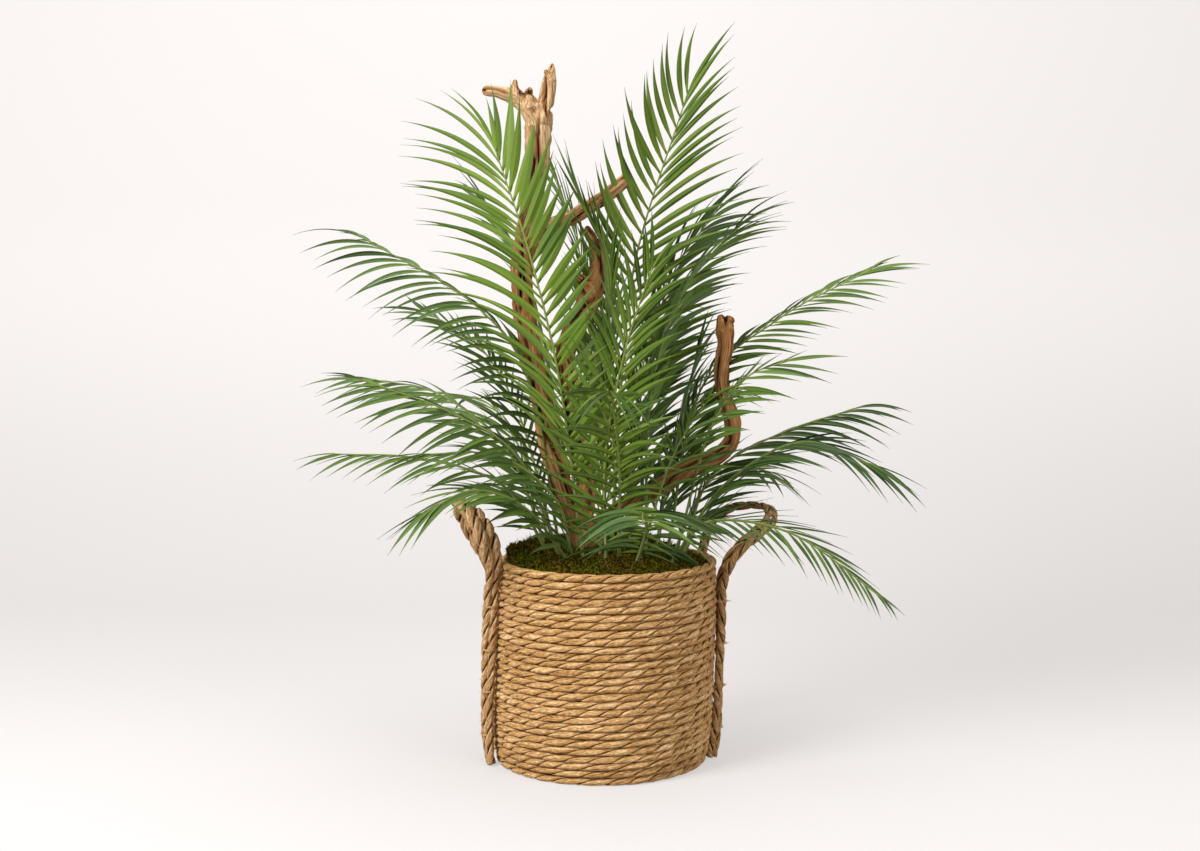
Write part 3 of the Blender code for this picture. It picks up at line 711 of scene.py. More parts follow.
def handle_cords(side, seed):
    """Both cords of a handle, two strands each, with loose slivers on them."""
    path = handle_path(side, CORD_STEPS)
    length = path_length(path)
    along = np.linspace(0, length, CORD_STEPS)
    share = along / length
    angle = math.radians(LEG_ANGLES[side + "_front"])
    tangents, out = carried(path, (math.cos(angle), math.sin(angle), 0.0))
    across = np.cross(tangents, out)
    swell = np.clip((path[:, 2] - LOOP_START) / LOOP_RISE, 0, 1)
    swell = swell * swell * (3 - 2 * swell)         # 0 in the legs, 1 in the loop
    slim = blend(1, FAR_SHARE[side], np.clip((share - 0.42) / 0.2, 0, 1))
    slim = slim * blend(1, LOOP_SHARE[side], swell)
    section, cosines, _ = around(CORD_SIDES)
    offset, deep, wide = CORD_STRAND
    pace, start = CORD_SWAY[side]
    heap = Heap()
    for cord, strand in ((0, 0), (0, 1), (1, 0), (1, 1)):
        hand = -1 if side == "right" and cord else 1
        sway = 2 * math.pi * along / pace + start + math.pi * cord
        centre = path + (slim * blend(*CORD_SET, swell))[:, None] * (
            np.cos(sway)[:, None] * out + np.sin(sway)[:, None] * across)
        thick = slim * blend(*CORD_RADIUS, swell) * (
            1 + 0.07 * wander(share, seed + 3 * cord, (5, 9, 14)))
        plump = thick * (1 + 0.07 * wander(share, seed + 7 * strand + cord, (13, 22, 37)))
        turn = (hand * 2 * math.pi * along / CORD_TURN + math.pi * strand + 2 * cord
                + 0.8 * wander(share, seed + 5 * cord, (4, 7, 11)))[:, None]
        away = np.cos(turn) * out + np.sin(turn) * across
        beside = np.cross(tangents, away)
        rings = tube(centre + away * (offset * thick)[:, None], away * (deep * plump)[:, None],
                     beside * (wide * plump)[:, None], CORD_SIDES)
        fibre = section + 0.8 * turn * hand
        run = run_mark(CORD_FIBRE_REACH * np.cos(fibre), CORD_FIBRE_REACH * np.sin(fibre),
                       along[:, None] + 5.0 * strand + 11.0 * cord + seed)
        # The right handle's lower tone is painted shade.
        shade = CORD_TONE_AND_PAINTED_SHADE[side] + 0.10 * wander(share, seed + 31 * strand, (4, 9, 16, 23))
        # crease is painted shade here too, on the side of each strand that faces its partner.
        heap.add(rings, run=run, tone=per_section(shade),
                 crease=per_side(np.clip(-cosines, 0, 1)))
    add_loose_ends(heap, path, tangents, slim * blend(*SLIVER_SET, swell))
    return heap


for seed, side in enumerate(("left", "right"), start=3):
    handle_cords(side, seed).build("handle_rope_" + side, braid_rope, "rope",
                                   ["handle_" + side])
print("handle triangles:", made["handle_rope_left"], made["handle_rope_right"])

# %% [markdown]
# ## Ties
#
# Lashings of thin straw twine hold the legs to the wall. Each goes twice around the leg and
# between two rows of rope, and ends in a small knot whose tails point outwards.

# %% Ties
TWINE_STEPS, TWINE_SIDES, TAILS = 44, 6, 4
TWINE_THICK, TWINE_THIN = 0.0006, 0.0005        # half axes of its oval section
# How far the twine and its knot lie from the middle of the leg: outward, what it needs more
# between the rows of the wall, to the sides, and the knot.
TIE_REACH, TIE_HOLD, TIE_SIDE, KNOT_REACH = 0.0086, 0.0030, 0.0088, 0.0092


def tie(leg, number, seed):
    """Two turns of twine around a leg, and a knot with its tails."""
    draw = random.Random(seed)
    centre = np.array(leg_centre(leg, TIE_HEIGHTS[number - 1]))
    angle = math.radians(LEG_ANGLES[leg])
    out = np.array([math.cos(angle), math.sin(angle), 0.0])
    aside = np.array([-out[1], out[0], 0.0])
    share = np.linspace(0, 1, TWINE_STEPS)
    turn = 4 * math.pi * share
    reach = TIE_REACH + TIE_HOLD * np.clip(-np.cos(turn), 0, 1) ** 2
    tilt = draw.uniform(-0.0016, 0.0016)
    line = (centre + out * (reach * np.cos(turn))[:, None]
            + aside * (TIE_SIDE * np.sin(turn))[:, None])
    line[:, 2] += 0.0030 * (share - 0.5) + tilt * np.sin(turn)
    tangents, across = carried(line, (0, 0, 1))
    heap = Heap()
    rings = tube(line, across * TWINE_THICK, np.cross(tangents, across) * TWINE_THIN,
                 TWINE_SIDES)
    heap.add(rings, run=run_mark(0.0, 0.0, (share * 0.1)[:, None] + seed),
             tone=[draw.uniform(0.25, 0.55)])
    knot = centre + out * KNOT_REACH
    ways = dice.normal(0, 0.5, (TAILS, 3)) + out * 0.9 + aside * draw.uniform(-0.5, 0.5)
    add_slivers(heap, np.repeat(knot[None], TAILS, 0) - out * 0.001, ways,
                dice.uniform(0.003, 0.0075, TAILS), 0.0004, dice.normal(0, 0.3, (TAILS, 3)),
                tone=[0.6])
    return heap


for index, leg in enumerate(LEG_ANGLES):
    for number in range(1, len(TIE_HEIGHTS) + 1):
        name = f"{leg}_{number}"
        tie(leg, number, 40 + 10 * index + number).build("twine_" + name, straw, "rope",
                                                         ["tie_" + name])
print("ties:", len(LEG_ANGLES) * len(TIE_HEIGHTS))

# %% [markdown]
# ## Pot and soil
#
# The nursery pot and its soil are out of sight under the moss. They keep the solids' shapes
# and get a material each: dull black plastic with a faint grain, and crumbly brown earth.

# %% Pot and soil materials
def grainy_material(name, roughness, specular, grain_scale, tones, bump):
    """One cloudy grain, for its colour and for its bumps."""
    material, tree, shader = new_material(name, roughness, specular)
    grain = cloudy(tree, grain_scale)
    painted(tree, shader, toned(tree, grain, *tones))
    bumped(tree, shader, grain, *bump)
    return material


plastic = grainy_material("black pot plastic", 0.55, 0.5, 40.0,
                          ((0.012, 0.012, 0.012), (0.02, 0.02, 0.02), (0.035, 0.034, 0.033)),
                          (0.2, 0.0004))
earth = grainy_material("potting soil", 0.95, 0.2, 260.0,
                        ((0.012, 0.008, 0.005), (0.045, 0.028, 0.016), (0.10, 0.07, 0.045)),
                        (0.8, 0.002))
for node, material in (("inner_pot", plastic), ("soil", earth)):
    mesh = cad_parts[node].data
    mesh.materials.clear()
    mesh.materials.append(material)
print("pot and soil dressed")

# %% [markdown]
# ## Moss
#
# The moss is a mat of tiny dark green sprigs with brown, dried patches. Seen close by it is
# rough at three sizes: soft humps as wide as a hand, lumps like a thumb, and the sprigs. A
# finely divided mound gives the first two, and thousands of slivers give the last.

# %% The mat
MOSS_RADIUS, MOUND_RADIUS = 0.1412, 0.1418
MOSS_EDGE_HEIGHT, MOSS_MOUND, MAT_FLOOR = 0.2765, 0.0140, 0.2640
MAT_CELLS = 150
MOSS_SHIFT = 0.0035         # to +X, as the basket leans there


def moss_level(x, y):
    """Top of the moss mound over a point."""
    return MOSS_EDGE_HEIGHT + MOSS_MOUND * (1 - (x * x + y * y) / MOUND_RADIUS ** 2)


def roughness_at(x, y):
    """What the humps, lumps and crumbs add to the mound over a point."""
    heaped = 0.0190 * min(1.0, max(0.0, (y + 0.05 - 0.8 * x) / 0.13))     # at the back left
    humps = 0.0034 * noise.noise((x * 22, y * 22, 3.0))
    lumps = 0.0050 * noise.noise((x * 70, y * 70, 8.0))
    crumbs = 0.0042 * noise.noise((x * 210, y * 210, 5.0))
    return heaped + humps + lumps + crumbs


def make_mat():
    """The mat, as a square grid drawn out to a disc, with a skirt down to its floor."""
    steps = np.linspace(-1, 1, MAT_CELLS + 1)
    u, v = np.meshgrid(steps, steps, indexing="ij")
    x = MOSS_RADIUS * u * np.sqrt(1 - v * v / 2)
    y = MOSS_RADIUS * v * np.sqrt(1 - u * u / 2)
    level = moss_level(x, y)
    for i in range(MAT_CELLS + 1):
        for j in range(MAT_CELLS + 1):
            level[i, j] += roughness_at(x[i, j], y[i, j])
    points = np.stack([x + MOSS_SHIFT, y, level], axis=-1).reshape(-1, 3)
    index = np.arange((MAT_CELLS + 1) ** 2).reshape(MAT_CELLS + 1, -1)
    faces = np.stack([index[:-1, :-1], index[1:, :-1], index[1:, 1:], index[:-1, 1:]],
                     axis=-1).reshape(-1, 4).tolist()
    edge = np.concatenate([index[0, :-1], index[:-1, -1], index[-1, :0:-1], index[:0:-1, 0]])
    skirt = points[edge].copy()
    skirt[:, 2] = MAT_FLOOR
    low = len(points) + np.arange(len(edge))
    for k in range(len(edge)):
        after = (k + 1) % len(edge)
        faces.append([int(edge[k]), int(edge[after]), int(low[after]), int(low[k])])
    faces.append(low[::-1].tolist())
    return smooth_mesh("moss_mat", np.vstack([points, skirt]).tolist(), faces), (x, y, level)


def moss_material(name, shift):
    """shift moves the shades towards the light ones, for the tips of the sprigs. The mat below
    the sprigs gets a shift down: it is painted darker, as painted shade.
    """
    material, tree, shader = new_material(name, 1.0, specular=0.05)
    dry, grain = cloudy(tree, 24.0), cloudy(tree, 300.0)
    share = maths(tree, 'ADD', grain, shift, clamp=True)
    green = toned(tree, share, (0.008, 0.009, 0.0006), (0.064, 0.073, 0.0014),
                  (0.190, 0.180, 0.008))
    brown = toned(tree, share, (0.014, 0.007, 0.0008), (0.072, 0.040, 0.0040),
                  (0.200, 0.120, 0.018))
    painted(tree, shader, mixed(tree, maths(tree, 'MULTIPLY', dry, 0.85), green, brown))
    bumped(tree, shader, grain, 0.8, 0.0012)
    return material


# The mat's material is painted darker than the sprigs': painted shade below the sprigs.
moss_mat_painted_shade = moss_material("moss mat", -0.15)
moss_bright = moss_material("moss sprigs", 0.02)
mat, (mat_x, mat_y, mat_level) = make_mat()
place(new_object("moss_mat", mat), moss_mat_painted_shade, "moss", ["moss"])
print("moss mat triangles:", made["moss_mat"])

# %% Sprigs of moss
SPRIGS = 12000
spot = dice.integers(0, MAT_CELLS + 1, (SPRIGS, 2))
base = np.stack([mat_x[spot[:, 0], spot[:, 1]] + MOSS_SHIFT, mat_y[spot[:, 0], spot[:, 1]],
                 mat_level[spot[:, 0], spot[:, 1]] - 0.0008], axis=1)
base[:, :2] += dice.normal(0, 0.0006, (SPRIGS, 2))
way = dice.normal(0, 0.55, (SPRIGS, 3)) + np.array([0, 0, 1.0])
way[:, 2] = np.abs(way[:, 2])
sprigs = Heap()
sprigs.add_many(slivers(base, way, dice.uniform(0.0018, 0.0060, SPRIGS), 0.00055,
                        dice.normal(0, 0.45, (SPRIGS, 3)), sections=3))
sprigs.build("moss_sprigs", moss_bright, "moss")
print("moss sprigs:", SPRIGS, "triangles:", made["moss_sprigs"])

# %% [markdown]
# ## Driftwood
#
# The driftwood is one weathered branch of grape or azalea wood. Its limbs are smooth where
# the bark has gone and deeply grooved where the grain has opened, and their tips are torn or
# sawn off. A skeleton of joints with a skin gives the branching form. The grooves are then
# pressed into the mesh itself, and they run along each limb, because every point knows its
# nearest limb, its distance along it and its angle around it.

# %% Skeleton
# Each joint is a place and a radius. A limb starts at a joint of its parent.
DRIFTWOOD_TRUNK = ((-0.029, 0.015, 0.221, 0.0195), (-0.031, 0.014, 0.312, 0.0205),
                   (-0.038, 0.012, 0.342, 0.0190))
DRIFTWOOD_LIMBS = {
    "stem": (("trunk", 2), (
        (-0.056, 0.008, 0.370, 0.0165), (-0.073, 0.008, 0.429, 0.0155),
        (-0.086, 0.010, 0.499, 0.0150), (-0.098, 0.012, 0.562, 0.0152),
        (-0.111, 0.014, 0.618, 0.0150), (-0.118, 0.014, 0.674, 0.0155),
        (-0.109, 0.012, 0.736, 0.0150), (-0.098, 0.012, 0.790, 0.0150),
        (-0.092, 0.012, 0.840, 0.0160), (-0.091, 0.012, 0.888, 0.0180))),
    "spike": (("stem", 9), (
        (-0.079, 0.012, 0.922, 0.0122), (-0.0755, 0.012, 0.948, 0.0102),
        (-0.0728, 0.012, 0.962, 0.0058), (-0.0716, 0.012, 0.972, 0.0016))),
    "splinter": (("spike", 1), (
        (-0.0800, 0.009, 0.957, 0.0040), (-0.0812, 0.008, 0.963, 0.0020))),
    "arm": (("stem", 9), (
        (-0.106, 0.008, 0.915, 0.0138), (-0.122, 0.006, 0.925, 0.0105),
        (-0.144, 0.003, 0.931, 0.0082), (-0.160, 0.000, 0.933, 0.0074),
        (-0.169, 0.000, 0.934, 0.0066))),
    "nub": (("arm", 1), (
        (-0.1235, 0.003, 0.938, 0.0054), (-0.1225, 0.002, 0.949, 0.0026))),
    "second_nub": (("arm", 0), (
        (-0.1045, -0.002, 0.929, 0.0068), (-0.1015, -0.004, 0.938, 0.0036))),
    "branch": (("stem", 6), (
        (-0.075, 0.020, 0.749, 0.0112), (-0.038, 0.028, 0.764, 0.0104),
        (-0.003, 0.035, 0.787, 0.0098), (0.022, 0.039, 0.806, 0.0094),
        (0.037, 0.042, 0.820, 0.0080))),
    "curl": (("trunk", 2), (
        (-0.023, 0.030, 0.379, 0.0145), (-0.034, 0.040, 0.440, 0.0138),
        (-0.047, 0.048, 0.511, 0.0135), (-0.058, 0.052, 0.568, 0.0138),
        (-0.040, 0.052, 0.614, 0.0142), (-0.014, 0.052, 0.651, 0.0142),
        (-0.004, 0.050, 0.694, 0.0130), (-0.012, 0.046, 0.725, 0.0095),
        (-0.026, 0.042, 0.750, 0.0040))),
    "knob": (("curl", 5), (
        (-0.033, 0.046, 0.676, 0.0060), (-0.046, 0.040, 0.686, 0.0050))),
    "right_arm": (("trunk", 1), (
        (0.004, 0.021, 0.337, 0.0125), (0.042, 0.020, 0.362, 0.0105),
        (0.076, 0.012, 0.381, 0.0110), (0.104, 0.006, 0.402, 0.0120),
        (0.134, 0.000, 0.418, 0.0120), (0.162, 0.000, 0.428, 0.0120),
        (0.181, 0.000, 0.449, 0.0115), (0.180, 0.000, 0.479, 0.0110),
        (0.166, 0.002, 0.512, 0.0095), (0.163, 0.004, 0.548, 0.0105),
        (0.170, 0.006, 0.580, 0.0110), (0.169, 0.006, 0.604, 0.0120),
        (0.1762, 0.006, 0.6245, 0.0064))),
    "prong": (("right_arm", 11), (
        (0.1625, 0.004, 0.621, 0.0052), (0.1612, 0.004, 0.6262, 0.0032))),
}


LIMB_STEPS = 120


def evaluated_mesh(thing):
    """A new mesh of an object as its modifiers leave it."""
    bpy.context.view_layer.update()
    view = bpy.context.evaluated_depsgraph_get()
    return bpy.data.meshes.new_from_object(thing.evaluated_get(view))


def skinned_skeleton():
    """The bare branching form, finely divided, and the joints that each limb runs through."""
    joints = list(DRIFTWOOD_TRUNK)
    links = [(0, 1), (1, 2)]
    first_of = {"trunk": 0}
    runs = {"trunk": [0, 1, 2]}
    for limb, ((parent, step), own) in DRIFTWOOD_LIMBS.items():
        first_of[limb] = len(joints)
        previous = first_of[parent] + step
        runs[limb] = [previous]
        for joint in own:
            joints.append(joint)
            links.append((previous, len(joints) - 1))
            previous = len(joints) - 1
            runs[limb].append(previous)
    mesh = bpy.data.meshes.new("skeleton")
    mesh.from_pydata([joint[:3] for joint in joints], links, [])
    thing = new_object("skeleton", mesh)
    thing.modifiers.new("bark", 'SKIN').use_smooth_shade = True
    for corner, joint in zip(mesh.skin_vertices[0].data, joints):
        corner.radius = (joint[3], joint[3])
    mesh.skin_vertices[0].data[0].use_root = True
    finer = thing.modifiers.new("finer", 'SUBSURF')
    finer.levels = finer.render_levels = 4
    form = evaluated_mesh(thing)
    bpy.data.objects.remove(thing)
    places = np.array([joint[:3] for joint in joints])
    runs["stem"] = runs["stem"] + runs.pop("spike")[1:]      # one grain runs up into the spike
    return form, {limb: route(places[numbers], LIMB_STEPS) for limb, numbers in runs.items()}


def limb_coordinates(points, limbs):
    """For each point: its limb, distance along it and from its end, angle around it, distance
    and direction from its middle, and how clear it is of the next limb."""
    best, second = np.full((2, len(points)), np.inf)
    found = {key: np.zeros(len(points)) for key in ("along", "angle", "limb", "end")}
    outward = np.zeros((len(points), 3))
    start = 0.0
    for number, line in enumerate(limbs.values()):
        tangents, across = carried(line, (0, 1, 0.01))
        upright = np.cross(tangents, across)
        travelled = distances(line)
        gaps = np.linalg.norm(points[:, None] - line[None], axis=2)
        nearest = gaps.argmin(axis=1)
        gap = gaps[np.arange(len(points)), nearest]
        closer = gap < best
        away = points - line[nearest]
        turn = np.arctan2((away * upright[nearest]).sum(1), (away * across[nearest]).sum(1))
        ahead = (away * tangents[nearest]).sum(1)
        for key, values in (("along", travelled[nearest] + ahead + start), ("angle", turn),
                            ("limb", np.full(len(points), number)),
                            ("end", travelled[-1] - travelled[nearest] - ahead)):
            found[key][closer] = values[closer]
        outward[closer] = (away - tangents[nearest] * ahead[:, None])[closer]
        second = np.where(closer, best, np.minimum(second, gap))
        best[closer] = gap[closer]
        start += travelled[-1] * 0.37
    found["clear"] = np.clip((second - best) / 0.007, 0, 1)
    found["reach"] = np.linalg.norm(outward, axis=1)
    found["outward"] = outward / np.maximum(found["reach"], 1e-5)[:, None]
    return found


print("driftwood limbs:", list(DRIFTWOOD_LIMBS))

# %% Grooves, splits and torn tips
# Holes and long splits on the front: middle (x, z), half width and half height.
SPLITS = ((-0.072, 0.904, 0.0040, 0.0060), (-0.081, 0.934, 0.0018, 0.0200),
          (-0.090, 0.850, 0.0020, 0.0400), (-0.165, 0.934, 0.0030, 0.0035),
          (-0.104, 0.930, 0.0050, 0.0030), (-0.113, 0.930, 0.0035, 0.0050),
          (-0.008, 0.715, 0.0040, 0.0200), (-0.116, 0.665, 0.0020, 0.0350),
          (0.1688, 0.624, 0.0022, 0.0160))
MOST_TRIANGLES = 190000         # a piece stays under 200,000


def grain(points, where):
    """At each point: how deep it is cut, and how high its fine ribs and its lumps are."""
    wobble, split, lumps = np.zeros((3, len(points)))
    for k, (along, limb) in enumerate(zip(where["along"], where["limb"])):
        wobble[k] = noise.noise((along * 13, limb * 7, 0.5))
        split[k] = noise.noise((along * 21, limb * 5, 4.5))
        lumps[k] = noise.noise(points[k] * 30) + 0.7 * noise.noise(points[k] * 85)
    turn = where["angle"] + 7 * where["along"] + 1.3 * wobble      # it spirals along a limb
    flutes = np.clip(np.cos(3 * turn + 2.2 * split), 0, 1) ** 2.5
    cracks = np.clip(np.cos(7 * turn - 3.0 * wobble), 0, 1) ** 7 * np.clip(0.5 + 2 * split, 0, 1)
    ribs = np.cos(16 * turn + 5 * wobble)
    depth = (0.46 * flutes + 0.34 * cracks) * (0.15 + 0.85 * where["clear"])
    for x, z, wide, high in SPLITS:
        gone = np.exp(-((points[:, 0] - x) / wide) ** 2 - ((points[:, 2] - z) / high) ** 2)
        depth = np.maximum(depth, 0.75 * gone * (where["outward"][:, 1] < 0.35))
    torn = np.clip(1 - where["end"] / 0.016, 0, 1)          # splintered at the tips
    return depth * (1 + 0.8 * torn), ribs, lumps


def carve(form, limbs):
    """Press the grain into the form, and mark its points."""
    points = np.zeros(len(form.vertices) * 3)
    form.vertices.foreach_get("co", points)
    points = points.reshape(-1, 3)
    where = limb_coordinates(points, limbs)
    depth, ribs, lumps = grain(points, where)
    size = np.clip(where["reach"], 0.002, 0.014)
    shape = 0.12 + 0.20 * lumps + 0.035 * ribs - depth
    moved = points + where["outward"] * (size * shape)[:, None]
    form.vertices.foreach_set("co", moved.ravel())
    run = run_mark(np.cos(where["angle"]) * size, np.sin(where["angle"]) * size,
                   where["along"])
    bleached = np.clip((points[:, 2] - 0.66) / 0.22, 0, 1)
    # low paints the wood below 0.52 m up to 0.10 lighter: painted light where the fronds shade it.
    low = np.clip((0.52 - points[:, 2]) / 0.12, 0, 1)
    # The tone follows the carving: painted shade the deeper a point is cut, painted light on the
    # ribs and lumps.
    tone = 0.44 + 0.20 * bleached + 0.10 * low - 1.05 * depth + 0.05 * ribs + 0.06 * lumps
    add_mark(form, "run", run)
    add_mark(form, "tone", tone[:, None])
    add_mark(form, "bleached", bleached[:, None])
    form.polygons.foreach_set("use_smooth", [True] * len(form.polygons))
    form.update()
    return form


def wood_material():
    material, tree, shader = new_material("weathered driftwood", 0.75, specular=0.2)
    lines = use_group(tree, fibres, Run=marked(tree, "run", "Vector"), Across=520.0, Along=14.0)
    streaks, clumps = lines.outputs["Streaks"], lines.outputs["Clumps"]
    share = total(tree, maths(tree, 'SUBTRACT', marked(tree, "tone"), 0.16),
                  (streaks, 0.34), (clumps, 0.18))
    brown = toned(tree, share, (0.030, 0.010, 0.003), (0.300, 0.128, 0.038),
                  (0.600, 0.350, 0.150))
    pale = toned(tree, share, (0.050, 0.018, 0.005), (0.390, 0.205, 0.080),
                 (0.780, 0.530, 0.300))
    painted(tree, shader, mixed(tree, marked(tree, "bleached"), brown, pale))
    bumped(tree, shader, maths(tree, 'ADD', streaks, clumps), 0.7, 0.0009)
    return material


driftwood_brown = wood_material()
form, limbs = skinned_skeleton()
branch = new_object("driftwood_carved", carve(form, limbs))
thinned = branch.modifiers.new("thinned", 'DECIMATE')
thinned.ratio = min(1, MOST_TRIANGLES / triangles(form))
branch.data = evaluated_mesh(branch)
branch.modifiers.clear()
place(branch, driftwood_brown, "wood", ["driftwood"])
print("driftwood triangles:", made["driftwood_carved"])

# %% [markdown]
# ## Fronds
#
# A frond is a long arching stalk with a row of leaflets down each side. The lowest leaflets
# stand well open, and the last ones point nearly along the stalk. Each leaflet is a narrow
# lance that is folded along its middle, leaves the stalk stiffly and droops at its point.
# Its fold matters more than its outline: the two halves catch different light, and that is
# what makes a palm look like a palm. So each leaflet is a thin folded blade with four long
# sharp edges, and its section has four points: two margins, and the top and underside of
# the midrib.

# %% Where the fronds grow
# Foot (x, y), three points that the stalk runs through, the longest leaflet, the roll of the
# blade and the rise of its leaflets in degrees, then how light and how blue its green is. The
# lightness is partly painted shade: fronds that lie in shade, such as right_dark and
# right_low_back, are given a low one. The blue is partly a painted reflection of the pale
# surroundings, strongest on the side and back fronds.
FRONDS = {
    "tall_left": ((-0.030, -0.040), (-0.060, -0.085, 0.535), (-0.099, -0.095, 0.705),
                  (-0.147, -0.070, 0.850), 0.184, 57, 0, 0.59, 0.05),
    "tall_right": ((0.010, 0.010), (0.025, 0.062, 0.535), (0.047, 0.052, 0.714),
                   (0.115, 0.005, 0.931), 0.168, -53, -4, 0.62, 0.10),
    "left_high": ((-0.062, 0.000), (-0.103, -0.012, 0.528), (-0.178, -0.025, 0.639),
                  (-0.330, -0.040, 0.731), 0.140, -26, -16, 0.36, 0.60),
    "right_long": ((0.090, 0.030), (0.135, 0.030, 0.516), (0.243, 0.010, 0.619),
                   (0.363, -0.035, 0.687), 0.108, 30, -14, 0.30, 0.30),
    "left_mid": ((-0.062, -0.035), (-0.116, -0.075, 0.432), (-0.205, -0.115, 0.498),
                 (-0.316, -0.155, 0.543), 0.118, -26, -22, 0.50, 0.55),
    "left_low": ((-0.076, -0.016), (-0.141, -0.036, 0.391), (-0.253, -0.050, 0.430),
                 (-0.360, -0.062, 0.437), 0.085, -24, -28, 0.48, 0.50),
    "right_droop": ((0.095, -0.040), (0.140, -0.085, 0.347), (0.250, -0.120, 0.336),
                    (0.368, -0.140, 0.253), 0.090, 34, -18, 0.29, 0.45),
    "right_dark": ((0.112, 0.015), (0.150, 0.026, 0.394), (0.243, 0.040, 0.453),
                   (0.360, 0.050, 0.492), 0.130, 16, -28, 0.06, 0.80),
    "right_low_back": ((0.108, -0.018), (0.159, -0.045, 0.387), (0.262, -0.080, 0.455),
                       (0.357, -0.110, 0.428), 0.110, 14, -25, 0.12, 0.80),
    "right_mid": ((0.100, -0.005), (0.142, -0.048, 0.460), (0.187, -0.088, 0.539),
                  (0.237, -0.120, 0.566), 0.128, 50, -10, 0.42, 0.50),
    "left_front_low": ((-0.052, -0.052), (-0.106, -0.095, 0.367), (-0.173, -0.125, 0.395),
                       (-0.234, -0.148, 0.370), 0.095, -20, -20, 0.46, 0.45),
    "front_droop": ((0.045, -0.062), (0.057, -0.100, 0.342), (0.050, -0.165, 0.370),
                    (0.048, -0.245, 0.366), 0.116, 0, 6, 0.38, 0.62),
    "right_high": ((0.058, -0.012), (0.064, 0.002, 0.507), (0.110, 0.028, 0.654),
                   (0.178, 0.025, 0.738), 0.165, -50, -5, 0.42, 0.40),
    "back_right_high": ((0.035, 0.050), (0.055, 0.075, 0.523), (0.100, 0.090, 0.684),
                        (0.162, 0.115, 0.772), 0.152, -50, -5, 0.34, 0.50),
    "centre_front": ((0.002, -0.050), (0.002, -0.090, 0.445), (0.027, -0.125, 0.580),
                     (0.061, -0.160, 0.688), 0.130, -50, 5, 0.47, 0.0),
    "centre_upright": ((-0.006, -0.026), (0.006, -0.060, 0.512), (0.008, -0.070, 0.685),
                       (-0.028, -0.090, 0.778), 0.125, 60, 5, 0.42, 0.05),
    "left_mid_back": ((-0.080, 0.015), (-0.137, 0.040, 0.430), (-0.236, 0.068, 0.510),
                      (-0.335, 0.100, 0.530), 0.110, -18, -28, 0.38, 0.60),
    "back_left_high": ((-0.070, 0.045), (-0.121, 0.070, 0.476), (-0.182, 0.085, 0.581),
                       (-0.261, 0.100, 0.629), 0.100, -40, -6, 0.24, 0.35),
    "front_reach": ((0.020, -0.040), (0.020, -0.105, 0.420), (0.010, -0.185, 0.520),
                    (0.006, -0.275, 0.535), 0.120, 0, -20, 0.46, 0.10),
    "inner_left": ((-0.045, -0.034), (-0.066, -0.070, 0.375), (-0.140, -0.100, 0.438),
                   (-0.238, -0.120, 0.443), 0.100, -20, -28, 0.50, 0.45),
    "inner_right": ((0.050, -0.035), (0.084, -0.062, 0.410), (0.110, -0.080, 0.469),
                    (0.139, -0.095, 0.513), 0.092, -30, -10, 0.32, 0.35),
    "back_centre": ((-0.018, 0.070), (-0.015, 0.105, 0.514), (-0.035, 0.125, 0.710),
                    (-0.080, 0.135, 0.845), 0.120, 60, 0, 0.30, 0.50),
    "back_left_tall": ((-0.042, 0.066), (-0.072, 0.100, 0.500), (-0.111, 0.130, 0.674),
                       (-0.171, 0.165, 0.780), 0.125, 45, -10, 0.34, 0.55),
    "back_right_mid": ((0.075, 0.065), (0.093, 0.090, 0.384), (0.116, 0.100, 0.485),
                       (0.137, 0.105, 0.570), 0.095, -40, -10, 0.25, 0.60),
    "back_left_reach": ((-0.030, 0.090), (-0.048, 0.145, 0.450), (-0.070, 0.215, 0.560),
                        (-0.095, 0.305, 0.585), 0.120, 10, -25, 0.48, 0.40),
    "back_right_reach": ((0.030, 0.085), (0.044, 0.140, 0.460), (0.070, 0.210, 0.585),
                         (0.105, 0.300, 0.625), 0.120, -10, -25, 0.48, 0.40),
    "back_left_low": ((-0.078, 0.072), (-0.112, 0.120, 0.400), (-0.170, 0.185, 0.485),
                      (-0.240, 0.255, 0.500), 0.120, 5, -25, 0.48, 0.50),
    "back_right_low": ((0.078, 0.088), (0.098, 0.130, 0.400), (0.140, 0.195, 0.485),
                       (0.195, 0.270, 0.505), 0.120, -5, -25, 0.48, 0.50),
    "back_droop": ((0.000, 0.105), (0.002, 0.155, 0.360), (0.010, 0.230, 0.400),
                   (0.020, 0.310, 0.370), 0.110, 0, -25, 0.50, 0.40),
    "back_right_droop": ((0.102, 0.052), (0.138, 0.090, 0.360), (0.190, 0.135, 0.400),
                         (0.255, 0.180, 0.385), 0.110, 0, -25, 0.50, 0.45),
}
print("fronds:", len(FRONDS))

# %% [markdown]
# The green of a leaf is not one green. It is yellower where the leaflet leaves the stalk and
# along its midrib, bluer towards its point, and each leaflet differs a little from the next.
# Fine veins run its whole length. A thin waxy skin gives a soft, wide highlight.

